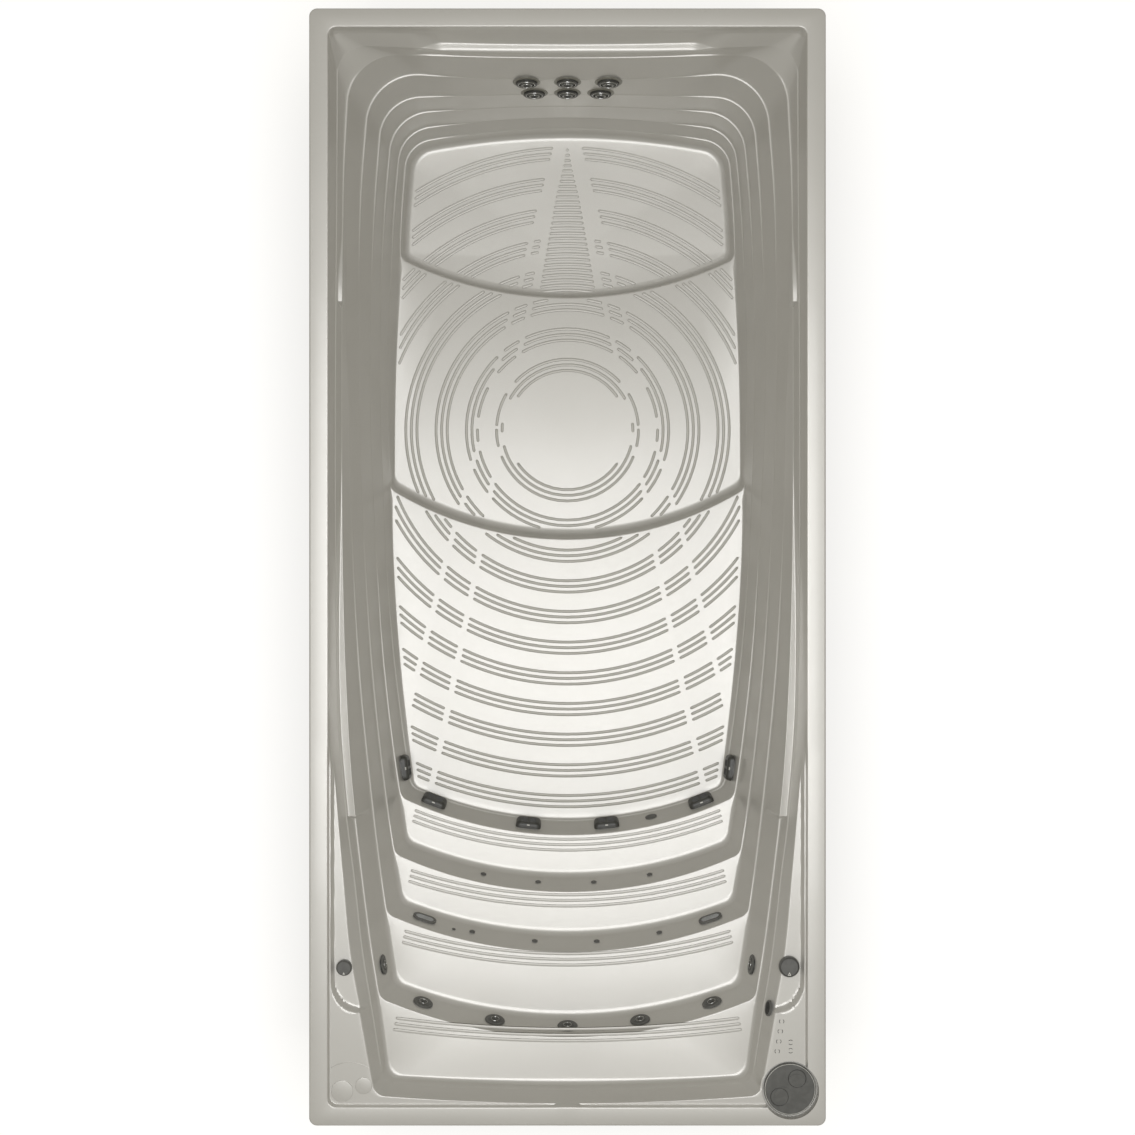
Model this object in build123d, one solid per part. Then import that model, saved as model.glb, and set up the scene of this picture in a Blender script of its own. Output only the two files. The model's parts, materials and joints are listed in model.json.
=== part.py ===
from build123d import *
import math
import os
from collections import namedtuple

# A swim spa: moulded basin, cabinet, jets, steps and the equipment below them.
# Millimetres. Origin at the middle of the footprint, on the ground; +Z up,
# +Y towards the swim-jet wall, the entry steps at the -Y end.

# Overall sizes
overall_width = 2340.0
overall_length = 5060.0
overall_height = 1320.0
rim_width = 85.0
rim_corner_radius = 36.0
rim_inner_radius = 39.0
skirt_depth = 80.0
skirt_thickness = 6.0
shell_wall = 8.0

# Levels: shares of the overall height above the ground, and drops from the rim
floor_height_shares = [0.0682, 0.1515, 0.2348]
tread_height_shares = [0.3864, 0.5379, 0.6894, 0.8409]
deck_drop = 30.0
knob_deck_drop = 65.0
shelf_drop = 132.0

# Clearances
overrun = 5.0
seat_gap = 0.3
running_gap = 0.05
ball_gap = 0.1
seat_sink = 2.0
nut_room = 32.0

half_width = overall_width / 2
half_length = overall_length / 2
basin_half_width = half_width - rim_width
basin_half_length = half_length - rim_width
deck_height = overall_height - deck_drop
knob_deck_height = overall_height - knob_deck_drop
shelf_height = overall_height - shelf_drop
floor_heights = [share * overall_height for share in floor_height_shares]
tread_heights = [share * overall_height for share in tread_height_shares]
level_heights = floor_heights + tread_heights + [deck_height]

# Plan of the basin at the top edge of each level, as shares of the half sizes:
# half width at the jet wall, at the waist and at the steps, where the waist lies,
# then the jet wall's corners and middle and the steps' corners and middle.
Plan = namedtuple("Plan", "jet waist step waist_y jet_corner jet_mid step_corner step_mid")
plan_shares = [
    Plan(0.742, 0.794, 0.792, 0.760, 0.922, 0.934, 0.654, 0.573),
    Plan(0.772, 0.834, 0.820, 0.490, 0.930, 0.938, 0.160, 0.059),
    Plan(0.795, 0.871, 0.756, 0.286, 0.933, 0.941, -0.474, -0.549),
    Plan(0.825, 0.905, 0.756, 0.204, 0.936, 0.9436, -0.578, -0.6495),
    Plan(0.862, 0.933, 0.763, 0.123, 0.943, 0.9508, -0.683, -0.751),
    Plan(0.922, 0.963, 0.782, 0.010, 0.962, 0.969, -0.824, -0.894),
    Plan(0.985, 0.992, 0.811, -0.2045, 0.994, 0.997, -0.982, -0.9965),
]
# How far each level's wall leans, as shares of its height: sides, jet wall, riser
Lean = namedtuple("Lean", "side jet step")
wall_lean_shares = [
    Lean(0.06, 0.03, 0.25),
    Lean(0.06, 0.00, 0.25),
    Lean(0.06, 0.01, 0.25),
    Lean(0.06, 0.01, 0.25),
    Lean(0.06, 0.06, 0.25),
    Lean(0.06, 0.20, 0.25),
    Lean(0.13, 0.35, 0.25),
]
# Corner rounding in plan: at the jet wall and at the steps
jet_corner_radii = [210.0, 200.0, 185.0, 170.0, 160.0, 150.0, 60.0]
step_corner_radii = [40.0, 50.0, 60.0, 60.0, 60.0, 60.0, 70.0]

# Jet-wall shelf and deck recesses
shelf_half_width = 673.0
shelf_taper = 120.0
knob_deck_inner_x_share = 0.7265
knob_deck_step_y_share = -0.7921
knob_deck_jet_y_share = -0.2767
knob_deck_radius = 90.0
pocket_radius = 128.0
pocket_drop = 50.0
filter_x_share = 0.8641
filter_y_share = -0.9379
disc_large_radius = 49.5
disc_small_radius = 38.0
disc_rise = 3.0
disc_large_x_share = -0.8752
disc_small_x_share = -0.7923
disc_large_y_share = -0.9415
disc_small_y_share = -0.9316

# Swim jets
swim_jet_upper_x = [-196.0, 0.0, 196.0]
swim_jet_lower_x = [-162.0, 0.0, 162.0]
swim_jet_upper_z_share = 0.6667
swim_jet_lower_z_share = 0.5530
swim_jet_flange_radius = 66.0
swim_jet_flange_rise = 5.0
swim_jet_barrel_radius = 47.0
swim_jet_wall = 4.0
swim_jet_depth = 58.0
swim_jet_tail_radius = 24.0
swim_jet_tail_length = 12.0
swim_ball_radius = 36.0
swim_ball_front = 24.0
swim_nozzle_bore = 14.0
swim_nozzle_lip = 3.0
swim_seat_half_height = 8.0
nut_radius = 58.0
nut_thickness = 12.0

# Therapy jets
therapy_jet_x = [-680.0, -342.0, 0.0, 342.0, 680.0]
therapy_jet_z_share = 0.7652
therapy_side_y_share = -0.7403
therapy_flange_radius = 47.5
therapy_flange_rise = 4.0
therapy_barrel_radius = 33.0
therapy_wall = 3.0
therapy_depth = 55.0
therapy_tail_radius = 14.0
therapy_tail_length = 25.0
therapy_face_rise = 6.0
therapy_face_depth = 14.0
therapy_face_bore = 10.0

# Air injectors, sensor, return and overflow fittings
injector_head_radius = 14.0
injector_head_rise = 4.0
injector_barrel_radius = 7.0
injector_length = 40.0
injector_nut_radius = 12.0
riser_2_injector_x = [-416.0, -145.0, 130.0, 406.0]
riser_2_injector_z_share = 0.4621
riser_3_injector_x = [-460.0, -158.0, 141.0, 443.0]
riser_3_injector_z_share = 0.6136
sensor_x = -548.0
sensor_z_share = 0.6288
sensor_radius = 9.0
return_x = 424.0
return_z_share = 0.3030
return_radius = 30.0
overflow_y_share = -0.7980
overflow_z_share = 0.9053
overflow_radius = 37.0
fitting_barrel_radius = 16.0
sensor_barrel_radius = 6.0

# Suctions
suction_x = [-677.0, -198.0, 198.0, 677.0]
suction_z_share = 0.3106
suction_side_y_share = -0.4024
suction_width = 127.0
suction_height = 100.0
suction_radius = 28.0
suction_rise = 7.0
suction_body_inset = 14.0
suction_body_depth = 55.0
suction_wall = 4.0
suction_tail_radius = 25.0
suction_tail_length = 22.0
suction_cover_margin = 6.0
suction_plate = 4.0
louvre_count = 6
louvre_width = 5.0
suction_edge_slope = 0.5

# Step lights
light_x = 690.0
light_z_share = 0.6174
light_width = 116.0
light_height = 66.0
light_rise = 5.0
light_rim = 9.0
light_depth = 26.0
light_lens_thickness = 4.0
light_lens_rim = 4.5

# Knobs
air_knob_x_share = -0.8701
air_knob_y_share = -0.7217
air_knob_radius = 35.5
diverter_knob_x_share = 0.8632
diverter_knob_y_share = -0.7198
diverter_knob_radius = 47.0
knob_height = 24.0
knob_wall = 3.0
knob_shoulder = 8.0
knob_top_share = 0.82
knob_skirt_gap = 1.0
spindle_radius = 8.0
spindle_length = 42.0
valve_flange_radius = 24.0
valve_flange_rise = 3.0
valve_barrel_radius = 15.0
valve_length = 95.0
valve_nut_radius = 21.0
valve_nut_thickness = 10.0

# Keypad
keypad_thickness = 2.0
keypad_depth = 24.0
keypad_margin = 6.0
keypad_corner_radius = 9.0
keypad_y_share = -0.8435
keypad_length = 188.0
keypad_jet_width = 81.0
keypad_step_width = 105.0
keypad_outer_drop = 132.0
button_inset_x = [65.0, 71.0, 78.0, 85.0, 24.0, 24.0]
button_offset_y = [69.0, 24.0, -22.0, -67.0, -26.0, -64.0]
button_radius = 8.0
button_rise = 2.0
button_head = 4.0
button_travel = 1.5
button_stem_radius = 4.0
button_stem_length = 12.0

# Filter
canister_flange_radius = 116.0
canister_flange = 6.0
canister_radius = 98.0
canister_wall = 4.0
canister_depth = 480.0
canister_tail_radius = 30.0
canister_tail_length = 45.0
lid_radius = 118.0
lid_thickness = 16.0
lid_plug_depth = 20.0
lid_disc_radius = 40.0
lid_disc_offset = 42.0
lid_disc_rise = 2.0
cartridge_radius = 74.0
cartridge_bore = 25.0
cartridge_length = 330.0
cartridge_cap = 14.0
cartridge_cap_rise = 6.0
pleat_count = 24
pleat_depth = 7.0

# Cabinet
cabinet_inset = 14.0
panel_thickness = 18.0
panel_bottom = 12.0
panel_top_drop = 70.0
access_top_drop = 84.0
panel_gap = 2.0
plank_count = 8
groove_width = 8.0
groove_depth = 5.0
post_width = 62.0
post_corner_radius = 16.0
pan_thickness = 6.0
pan_lip = 40.0
screw_radius = 8.0
screw_rise = 3.0
screw_y_shares = [-0.5929, 0.4743]

# Frame
rail_width = 38.0
stud_width = 60.0
plain_rail_y_shares = [0.8300, 0.6324, 0.3162, -0.1186, -0.3557, -0.5613, -0.6640]
stud_y_shares = [-0.8854, -0.5929, -0.2372, 0.1186, 0.4743, 0.8300]
end_stud_x = 640.0
top_rail_height = 80.0
floor_beam_half_length = 700.0
floor_2_beam_y_shares = [0.4743, 0.3162]
floor_3_beam_y_shares = [-0.1186, -0.3557]
tread_post_width = 30.0
tread_post_x = [330.0, 280.0, 280.0, 200.0]

# Pumps
pump_x = [-560.0, 0.0, 560.0]
pump_axis_rise = 150.0
motor_radius = 85.0
motor_front_y_share = -0.7866
motor_length = 320.0
motor_rail_inset = [30.0, 270.0]
motor_foot_width = 150.0
motor_foot_thickness = 8.0
motor_foot_drop = 24.0
volute_radius = 118.0
volute_length = 96.0
volute_wall = 10.0
port_radius = 36.0
port_wall = 6.0
port_length = 30.0
discharge_offset = 70.0
discharge_rise = 40.0
shaft_radius = 12.0
impeller_radius = 78.0
impeller_thickness = 30.0
motor_end_cap = 20.0

# Pipes
pipe_radius = 28.0
branch_radius = 22.0
tail_stub = 15.0
suction_header_y_share = -0.5889
suction_header_half = 880.0
canister_join_y_share = -0.6324
suction_riser_x_share = 0.8291
pressure_turn_height_share = 0.3939
side_pipe_x_share = 0.8803
side_pipe_height_share = 0.2273
jet_pipe_inset = 100.0
jet_header_half = 230.0
jet_riser_x = 330.0
therapy_header_y_share = -0.9209
therapy_turn_height_share = 0.4545
therapy_riser_x_share = 0.8632
therapy_side_run_y_share = -0.8834
therapy_header_half = 700.0

# Heater, control box, drain and cable gland
box_length = 300.0
box_depth = 130.0
box_height = 300.0
box_x_share = -0.7949
box_y_share = -0.9486
box_lid = 12.0
heater_radius = 38.0
heater_length = 330.0
heater_saddle = 14.0
heater_saddle_x = 100.0
drain_y_share = -0.8498
drain_height_share = 0.0909
drain_radius = 13.0
drain_wall = 3.0
drain_length = 90.0
drain_flange_radius = 24.0
drain_flange = 4.0
drain_rise = 12.0
collar_radius = 22.0
collar_edge = 1.5
gland_y_share = -0.9091
gland_height_share = 0.1364
gland_bore = 12.5
gland_radius = 17.0
gland_flange_radius = 25.0
gland_flange = 4.0
gland_rise = 8.0
gland_length = 44.0

# Places worked out from their shares
knob_deck_step_y = knob_deck_step_y_share * half_length
knob_deck_jet_y = knob_deck_jet_y_share * half_length
filter_y = filter_y_share * half_length
disc_large_y = disc_large_y_share * half_length
disc_small_y = disc_small_y_share * half_length
therapy_side_y = therapy_side_y_share * half_length
overflow_y = overflow_y_share * half_length
suction_side_y = suction_side_y_share * half_length
air_knob_y = air_knob_y_share * half_length
diverter_knob_y = diverter_knob_y_share * half_length
keypad_y = keypad_y_share * half_length
screw_y = [share * half_length for share in screw_y_shares]
plain_rail_y = [share * half_length for share in plain_rail_y_shares]
stud_y = [share * half_length for share in stud_y_shares]
floor_2_beam_y = [share * half_length for share in floor_2_beam_y_shares]
floor_3_beam_y = [share * half_length for share in floor_3_beam_y_shares]
motor_front_y = motor_front_y_share * half_length
suction_header_y = suction_header_y_share * half_length
canister_join_y = canister_join_y_share * half_length
therapy_header_y = therapy_header_y_share * half_length
therapy_side_run_y = therapy_side_run_y_share * half_length
box_y = box_y_share * half_length
drain_y = drain_y_share * half_length
gland_y = gland_y_share * half_length
knob_deck_inner_x = knob_deck_inner_x_share * half_width
filter_x = filter_x_share * half_width
disc_large_x = disc_large_x_share * half_width
disc_small_x = disc_small_x_share * half_width
air_knob_x = air_knob_x_share * half_width
diverter_knob_x = diverter_knob_x_share * half_width
suction_riser_x = suction_riser_x_share * half_width
side_pipe_x = side_pipe_x_share * half_width
therapy_riser_x = therapy_riser_x_share * half_width
box_x = box_x_share * half_width
swim_jet_upper_z = swim_jet_upper_z_share * overall_height
swim_jet_lower_z = swim_jet_lower_z_share * overall_height
therapy_jet_z = therapy_jet_z_share * overall_height
riser_2_injector_z = riser_2_injector_z_share * overall_height
riser_3_injector_z = riser_3_injector_z_share * overall_height
sensor_z = sensor_z_share * overall_height
return_z = return_z_share * overall_height
overflow_z = overflow_z_share * overall_height
suction_z = suction_z_share * overall_height
light_z = light_z_share * overall_height
pressure_turn_height = pressure_turn_height_share * overall_height
side_pipe_height = side_pipe_height_share * overall_height
therapy_turn_height = therapy_turn_height_share * overall_height
drain_height = drain_height_share * overall_height
gland_height = gland_height_share * overall_height
motor_rail_y = [motor_front_y - inset for inset in motor_rail_inset]
cross_rail_y = plain_rail_y + motor_rail_y
tread_post_y = cross_rail_y[-len(tread_post_x):]
keypad_jet_y = keypad_y + keypad_length / 2
keypad_step_y = keypad_y - keypad_length / 2
keypad_outer_x = half_width - keypad_outer_drop
keypad_inner_jet_x = keypad_outer_x - keypad_jet_width
keypad_inner_step_x = keypad_outer_x - keypad_step_width
button_rows_x = [keypad_outer_x - inset for inset in button_inset_x]
button_rows_y = [keypad_y + offset for offset in button_offset_y]

jet_side = 1
step_side = -1


def ring(shares):
    """Real plan sizes of one level from its shares."""
    wide = basin_half_width
    long = basin_half_length
    return Plan(
        shares.jet * wide, shares.waist * wide, shares.step * wide, shares.waist_y * long,
        shares.jet_corner * long, shares.jet_mid * long,
        shares.step_corner * long, shares.step_mid * long,
    )


def grown(plan, side, jet, step):
    """The same plan with its sides, jet wall and step wall moved outwards."""
    return Plan(
        plan.jet + side, plan.waist + side, plan.step + side, plan.waist_y,
        plan.jet_corner + jet, plan.jet_mid + jet,
        plan.step_corner - step, plan.step_mid - step,
    )


def level_rise(level):
    return level_heights[level + 1] - level_heights[level]


def top_plan(level):
    return ring(plan_shares[level])


def bottom_plan(level):
    rise = level_rise(level)
    lean = wall_lean_shares[level]
    return grown(top_plan(level), -lean.side * rise, -lean.jet * rise, -lean.step * rise)


def side_x(plan, y):
    """Distance of the side wall from the middle, on the arc that is square to the waist."""
    end_x = plan.jet if y > plan.waist_y else plan.step
    end_y = plan.jet_corner if y > plan.waist_y else plan.step_corner
    drop = plan.waist - end_x
    radius = (drop ** 2 + (end_y - plan.waist_y) ** 2) / (2 * drop)
    return plan.waist - radius + math.sqrt(radius ** 2 - (y - plan.waist_y) ** 2)


def arc_radius(half_chord, sag):
    return (half_chord ** 2 + sag ** 2) / (2 * sag)


def jet_wall_y(plan, x):
    radius = arc_radius(plan.jet, plan.jet_mid - plan.jet_corner)
    return plan.jet_mid - radius + math.sqrt(radius ** 2 - x ** 2)


def riser_y(plan, x):
    radius = arc_radius(plan.step, plan.step_corner - plan.step_mid)
    return plan.step_mid + radius - math.sqrt(radius ** 2 - x ** 2)


def plan_wire(plan, height, jet_radius, step_radius):
    """Six arcs with the four corners rounded, as one closed wire at a height."""
    jet_half = (plan.waist_y + plan.jet_corner) / 2
    step_half = (plan.waist_y + plan.step_corner) / 2
    right = [
        ThreePointArc((plan.jet, plan.jet_corner), (side_x(plan, jet_half), jet_half),
                      (plan.waist, plan.waist_y)),
        ThreePointArc((plan.waist, plan.waist_y), (side_x(plan, step_half), step_half),
                      (plan.step, plan.step_corner)),
    ]
    ends = [
        ThreePointArc((-plan.jet, plan.jet_corner), (0, plan.jet_mid), (plan.jet, plan.jet_corner)),
        ThreePointArc((plan.step, plan.step_corner), (0, plan.step_mid),
                      (-plan.step, plan.step_corner)),
    ]
    left = [edge.mirror(Plane.YZ) for edge in right]
    face = make_face(right + ends + left).face()
    jet_points = [v for v in face.vertices() if abs(v.Y - plan.jet_corner) < overrun]
    face = face.fillet_2d(jet_radius, jet_points)
    step_points = [v for v in face.vertices() if abs(v.Y - plan.step_corner) < overrun]
    face = face.fillet_2d(step_radius, step_points)
    return (Pos(0, 0, height) * face).outer_wire()


def level_block(level, grow=0):
    """The space of one level, or with a wall's thickness round it and below it."""
    low = level_heights[level] - grow
    high = level_heights[level + 1] - grow
    wires = [
        plan_wire(grown(plan, grow, grow, grow), height,
                  jet_corner_radii[level] + grow, step_corner_radii[level] + grow)
        for plan, height in ((bottom_plan(level), low), (top_plan(level), high))
    ]
    return Solid.make_loft(wires, ruled=True)


def slab(length_x, length_y, low, high, radius):
    """A flat rounded rectangle about the middle, between two heights."""
    return Pos(0, 0, low) * extrude(RectangleRounded(length_x, length_y, radius), high - low)


def box_between(x0, x1, y0, y1, z0, z1):
    size = Box(x1 - x0, y1 - y0, z1 - z0, align=(Align.MIN, Align.MIN, Align.MIN))
    return Pos(x0, y0, z0) * size


def rod(radius, low, high):
    return Pos(0, 0, low) * Cylinder(radius, high - low, align=(Align.CENTER, Align.CENTER, Align.MIN))


def turned(*profile):
    """A solid of revolution about Z from points of radius and height."""
    return revolve(Plane.XZ * make_face(Polyline(*profile, close=True)), Axis.Z)


def facing(origin, normal):
    """A plane whose Z points along the normal and whose X is level."""
    direction = Vector(*normal).normalized()
    return Plane(origin=origin, x_dir=Vector(0, 0, 1).cross(direction), z_dir=direction)


def level_at(height):
    return max(k for k in range(len(plan_shares)) if level_heights[k] < height)


def riser_port(x, height):
    """Plane on a riser's surface, facing the water."""
    level = level_at(height)
    low, high = bottom_plan(level), top_plan(level)
    share = (height - level_heights[level]) / level_rise(level)
    y = riser_y(low, x) * (1 - share) + riser_y(high, x) * share
    radius = arc_radius(high.step, high.step_corner - high.step_mid)
    slope = x / math.sqrt(radius ** 2 - x ** 2)
    lean = (riser_y(high, x) - riser_y(low, x)) / level_rise(level)
    return facing((x, y, height), (-slope, 1, -lean))


def side_port(side, y, height):
    """Plane on a side wall's surface, facing the water."""
    level = level_at(height)
    low, high = bottom_plan(level), top_plan(level)
    share = (height - level_heights[level]) / level_rise(level)
    x = side_x(low, y) * (1 - share) + side_x(high, y) * share
    drop = high.waist - high.step
    radius = (drop ** 2 + (high.step_corner - high.waist_y) ** 2) / (2 * drop)
    slope = -(y - high.waist_y) / math.sqrt(radius ** 2 - (y - high.waist_y) ** 2)
    lean = (side_x(high, y) - side_x(low, y)) / level_rise(level)
    return facing((side * x, y, height), (-side, slope, lean))


def jet_port(x, height):
    """Plane on the jet wall's surface, facing the water."""
    level = level_at(height)
    low, high = bottom_plan(level), top_plan(level)
    share = (height - level_heights[level]) / level_rise(level)
    y = jet_wall_y(low, x) * (1 - share) + jet_wall_y(high, x) * share
    radius = arc_radius(high.jet, high.jet_mid - high.jet_corner)
    slope = -x / math.sqrt(radius ** 2 - x ** 2)
    lean = (jet_wall_y(high, x) - jet_wall_y(low, x)) / level_rise(level)
    return facing((x, y, height), (slope, -1, lean))


upper_swim_ports = [jet_port(x, swim_jet_upper_z) for x in swim_jet_upper_x]
lower_swim_ports = [jet_port(x, swim_jet_lower_z) for x in swim_jet_lower_x]
swim_jet_ports = upper_swim_ports + lower_swim_ports
therapy_riser_ports = [riser_port(x, therapy_jet_z) for x in therapy_jet_x]
therapy_side_ports = [side_port(side, therapy_side_y, therapy_jet_z) for side in (-1, 1)]
therapy_ports = therapy_riser_ports + therapy_side_ports
injector_ports = [riser_port(x, riser_2_injector_z) for x in riser_2_injector_x]
injector_ports += [riser_port(x, riser_3_injector_z) for x in riser_3_injector_x]
suction_riser_ports = [riser_port(x, suction_z) for x in suction_x]
suction_side_ports = [side_port(side, suction_side_y, suction_z) for side in (-1, 1)]
suction_ports = suction_riser_ports + suction_side_ports
light_ports = [riser_port(side * light_x, light_z) for side in (-1, 1)]
sensor_port = riser_port(sensor_x, sensor_z)
return_port = riser_port(return_x, return_z)
overflow_port = side_port(1, overflow_y, overflow_z)


def round_cut(flange_radius, barrel_radius, back_radius):
    """Cutter for a round wall fitting: a sunk seat, a hole and a flat behind for its nut."""
    seat = rod(flange_radius + seat_gap, -seat_sink, seat_sink + shell_wall)
    hole = rod(barrel_radius + seat_gap, -nut_room, overrun)
    back = rod(back_radius + seat_gap, -nut_room, -shell_wall + seat_sink)
    return seat + hole + back


def oval_plate(width, height, thickness):
    return extrude(SlotOverall(width, height), thickness)


def suction_cut():
    seat = extrude(RectangleRounded(suction_width + 2 * seat_gap, suction_height + 2 * seat_gap,
                                    suction_radius), shell_wall + seat_sink)
    inner = RectangleRounded(suction_width - 2 * suction_body_inset + 2 * seat_gap,
                             suction_height - 2 * suction_body_inset + 2 * seat_gap,
                             suction_radius - suction_body_inset + seat_gap)
    hole = Pos(0, 0, -shell_wall - overrun) * extrude(inner, shell_wall + 2 * overrun)
    return Pos(0, 0, -seat_sink) * seat + hole


def light_cut():
    seat = oval_plate(light_width + 2 * seat_gap, light_height + 2 * seat_gap, shell_wall + seat_sink)
    hole = oval_plate(light_width - 2 * light_rim, light_height - 2 * light_rim, shell_wall + 2 * overrun)
    return Pos(0, 0, -seat_sink) * seat + Pos(0, 0, -shell_wall - overrun) * hole


def keypad_outline(inset):
    corners = [
        (keypad_inner_jet_x + inset, keypad_jet_y - inset),
        (keypad_outer_x - inset, keypad_jet_y - inset),
        (keypad_outer_x - inset, keypad_step_y + inset),
        (keypad_inner_step_x + inset, keypad_step_y + inset),
    ]
    face = make_face(Polyline(*corners, close=True)).face()
    return face.fillet_2d(keypad_corner_radius, face.vertices())


def keypad_prism(inset, low, high):
    return Pos(0, 0, low) * extrude(keypad_outline(inset), high - low)


def knob_deck(grow):
    """The sunk deck under one knob, as a block from its floor up."""
    outer_x = basin_half_width - shell_wall + grow
    width = outer_x - knob_deck_inner_x + grow
    length = knob_deck_jet_y - knob_deck_step_y + 2 * grow
    outline = Pos((outer_x + knob_deck_inner_x - grow) / 2, (knob_deck_jet_y + knob_deck_step_y) / 2)
    outline = outline * RectangleRounded(width, length, knob_deck_radius + grow)
    return Pos(0, 0, knob_deck_height - grow) * extrude(outline, deck_height - knob_deck_height)


def shelf_block(grow):
    """The shelf along the top of the jet wall, with slanted ends."""
    back = basin_half_length + grow
    front = basin_half_length - rim_width - grow
    half = shelf_half_width + grow
    low = shelf_height - grow
    corners = [(-half, back), (half, back), (half + shelf_taper, front), (-half - shelf_taper, front)]
    return Pos(0, 0, low) * extrude(make_face(Polyline(*corners, close=True)), deck_height - shelf_height)


def shell():
    """The moulded basin: rim, terraces, steps and decks, with a hole for every fitting."""
    opening = (2 * basin_half_width, 2 * basin_half_length)
    space = slab(*opening, deck_height, overall_height + overrun, rim_inner_radius)
    body = slab(opening[0] + 2 * shell_wall, opening[1] + 2 * shell_wall,
                deck_height - shell_wall, overall_height, rim_inner_radius + shell_wall)
    for level in range(len(plan_shares)):
        space += level_block(level)
        body += level_block(level, shell_wall)
    decks = knob_deck(0)
    deck_walls = knob_deck(shell_wall)
    space += [decks, decks.mirror(Plane.YZ), shelf_block(0)]
    body += [deck_walls, deck_walls.mirror(Plane.YZ), shelf_block(shell_wall)]
    body += slab(overall_width, overall_length, overall_height - shell_wall, overall_height,
                 rim_corner_radius)
    skirt = slab(overall_width, overall_length, overall_height - skirt_depth, overall_height,
                 rim_corner_radius)
    skirt -= slab(overall_width - 2 * skirt_thickness, overall_length - 2 * skirt_thickness,
                  overall_height - skirt_depth - overrun, overall_height - shell_wall,
                  rim_corner_radius - skirt_thickness)
    body += skirt
    pocket_floor = overall_height - pocket_drop
    pocket_place = Pos(filter_x, filter_y)
    body += pocket_place * rod(pocket_radius + shell_wall, pocket_floor - shell_wall, overall_height)
    solid = body - space
    solid -= pocket_place * rod(pocket_radius, pocket_floor, overall_height + overrun)
    solid -= pocket_place * rod(canister_radius + seat_gap, pocket_floor - shell_wall - overrun,
                                pocket_floor + overrun)
    for x, y, radius in ((disc_large_x, disc_large_y, disc_large_radius),
                         (disc_small_x, disc_small_y, disc_small_radius)):
        solid += Pos(x, y) * rod(radius, deck_height - shell_wall, deck_height + disc_rise)
    return solid - fitting_cuts()


def fitting_cuts():
    cuts = [port * round_cut(swim_jet_flange_radius, swim_jet_barrel_radius, nut_radius)
            for port in swim_jet_ports]
    cuts += [port * round_cut(therapy_flange_radius, therapy_barrel_radius, therapy_flange_radius)
             for port in therapy_ports]
    cuts += [port * round_cut(injector_head_radius, injector_barrel_radius, injector_nut_radius)
             for port in injector_ports]
    cuts += [port * suction_cut() for port in suction_ports]
    cuts += [port * light_cut() for port in light_ports]
    cuts.append(sensor_port * round_cut(sensor_radius, sensor_barrel_radius, sensor_radius))
    cuts.append(return_port * round_cut(return_radius, fitting_barrel_radius, return_radius))
    cuts.append(overflow_port * round_cut(overflow_radius, fitting_barrel_radius, return_radius))
    for x, y in ((air_knob_x, air_knob_y), (diverter_knob_x, diverter_knob_y)):
        cuts.append(Pos(x, y) * rod(valve_barrel_radius + seat_gap,
                                    knob_deck_height - shell_wall - overrun,
                                    knob_deck_height + overrun))
    cuts.append(keypad_prism(0, deck_height - keypad_thickness, deck_height + overrun))
    cuts.append(keypad_prism(keypad_margin, deck_height - shell_wall - overrun, deck_height + overrun))
    return cuts


def swim_jet_body():
    """Flange, ball seat, barrel, nut and tail of one swim jet, round its own Z."""
    outer = swim_jet_barrel_radius
    inner = outer - swim_jet_wall
    back = -swim_jet_depth
    seat = swim_ball_radius + ball_gap
    centre = swim_ball_centre()
    mouth = math.sqrt(seat ** 2 - (swim_ball_front / 2) ** 2)
    body = turned((mouth, swim_jet_flange_rise), (swim_jet_flange_radius, 0),
                  (swim_jet_flange_radius, -seat_sink), (outer, -seat_sink), (outer, back),
                  (swim_jet_tail_radius, back), (swim_jet_tail_radius, back - swim_jet_tail_length),
                  (swim_nozzle_bore, back - swim_jet_tail_length), (swim_nozzle_bore, back + swim_jet_wall),
                  (inner, back + swim_jet_wall), (inner, centre - swim_seat_half_height),
                  (seat, centre - swim_seat_half_height), (seat, centre + swim_seat_half_height))
    nut_top = -shell_wall + seat_sink
    nut = turned((outer, nut_top), (nut_radius, nut_top), (nut_radius, nut_top - nut_thickness),
                 (outer, nut_top - nut_thickness))
    return body + nut


def swim_ball_centre():
    """Depth of the ball's centre below the wall surface."""
    return swim_jet_flange_rise - swim_ball_front / 2


def swim_jet_nozzle():
    """The swivelling eyeball: a ball cut off in front and behind, with its bore and a short lip."""
    centre = swim_ball_centre()
    front = centre + swim_ball_front
    ball = Pos(0, 0, centre) * Sphere(swim_ball_radius)
    ball &= rod(swim_ball_radius + overrun, centre - swim_ball_front, front)
    lip = rod(swim_nozzle_bore + swim_nozzle_lip, centre, front + swim_nozzle_lip)
    return ball + lip - rod(swim_nozzle_bore, centre - swim_ball_radius, front + swim_nozzle_lip + overrun)


def therapy_jet_body():
    outer = therapy_barrel_radius
    inner = outer - therapy_wall
    back = -therapy_depth
    body = turned((inner, therapy_flange_rise),
                  (therapy_flange_radius - therapy_flange_rise, therapy_flange_rise),
                  (therapy_flange_radius, 0),
                  (therapy_flange_radius, -seat_sink), (outer, -seat_sink), (outer, back),
                  (therapy_tail_radius, back), (therapy_tail_radius, back - therapy_tail_length),
                  (therapy_face_bore, back - therapy_tail_length), (therapy_face_bore, back + therapy_wall),
                  (inner, back + therapy_wall))
    nut_top = -shell_wall + seat_sink
    nut = turned((outer, nut_top), (therapy_flange_radius, nut_top),
                 (therapy_flange_radius, nut_top - nut_thickness), (outer, nut_top - nut_thickness))
    return body + nut


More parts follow.
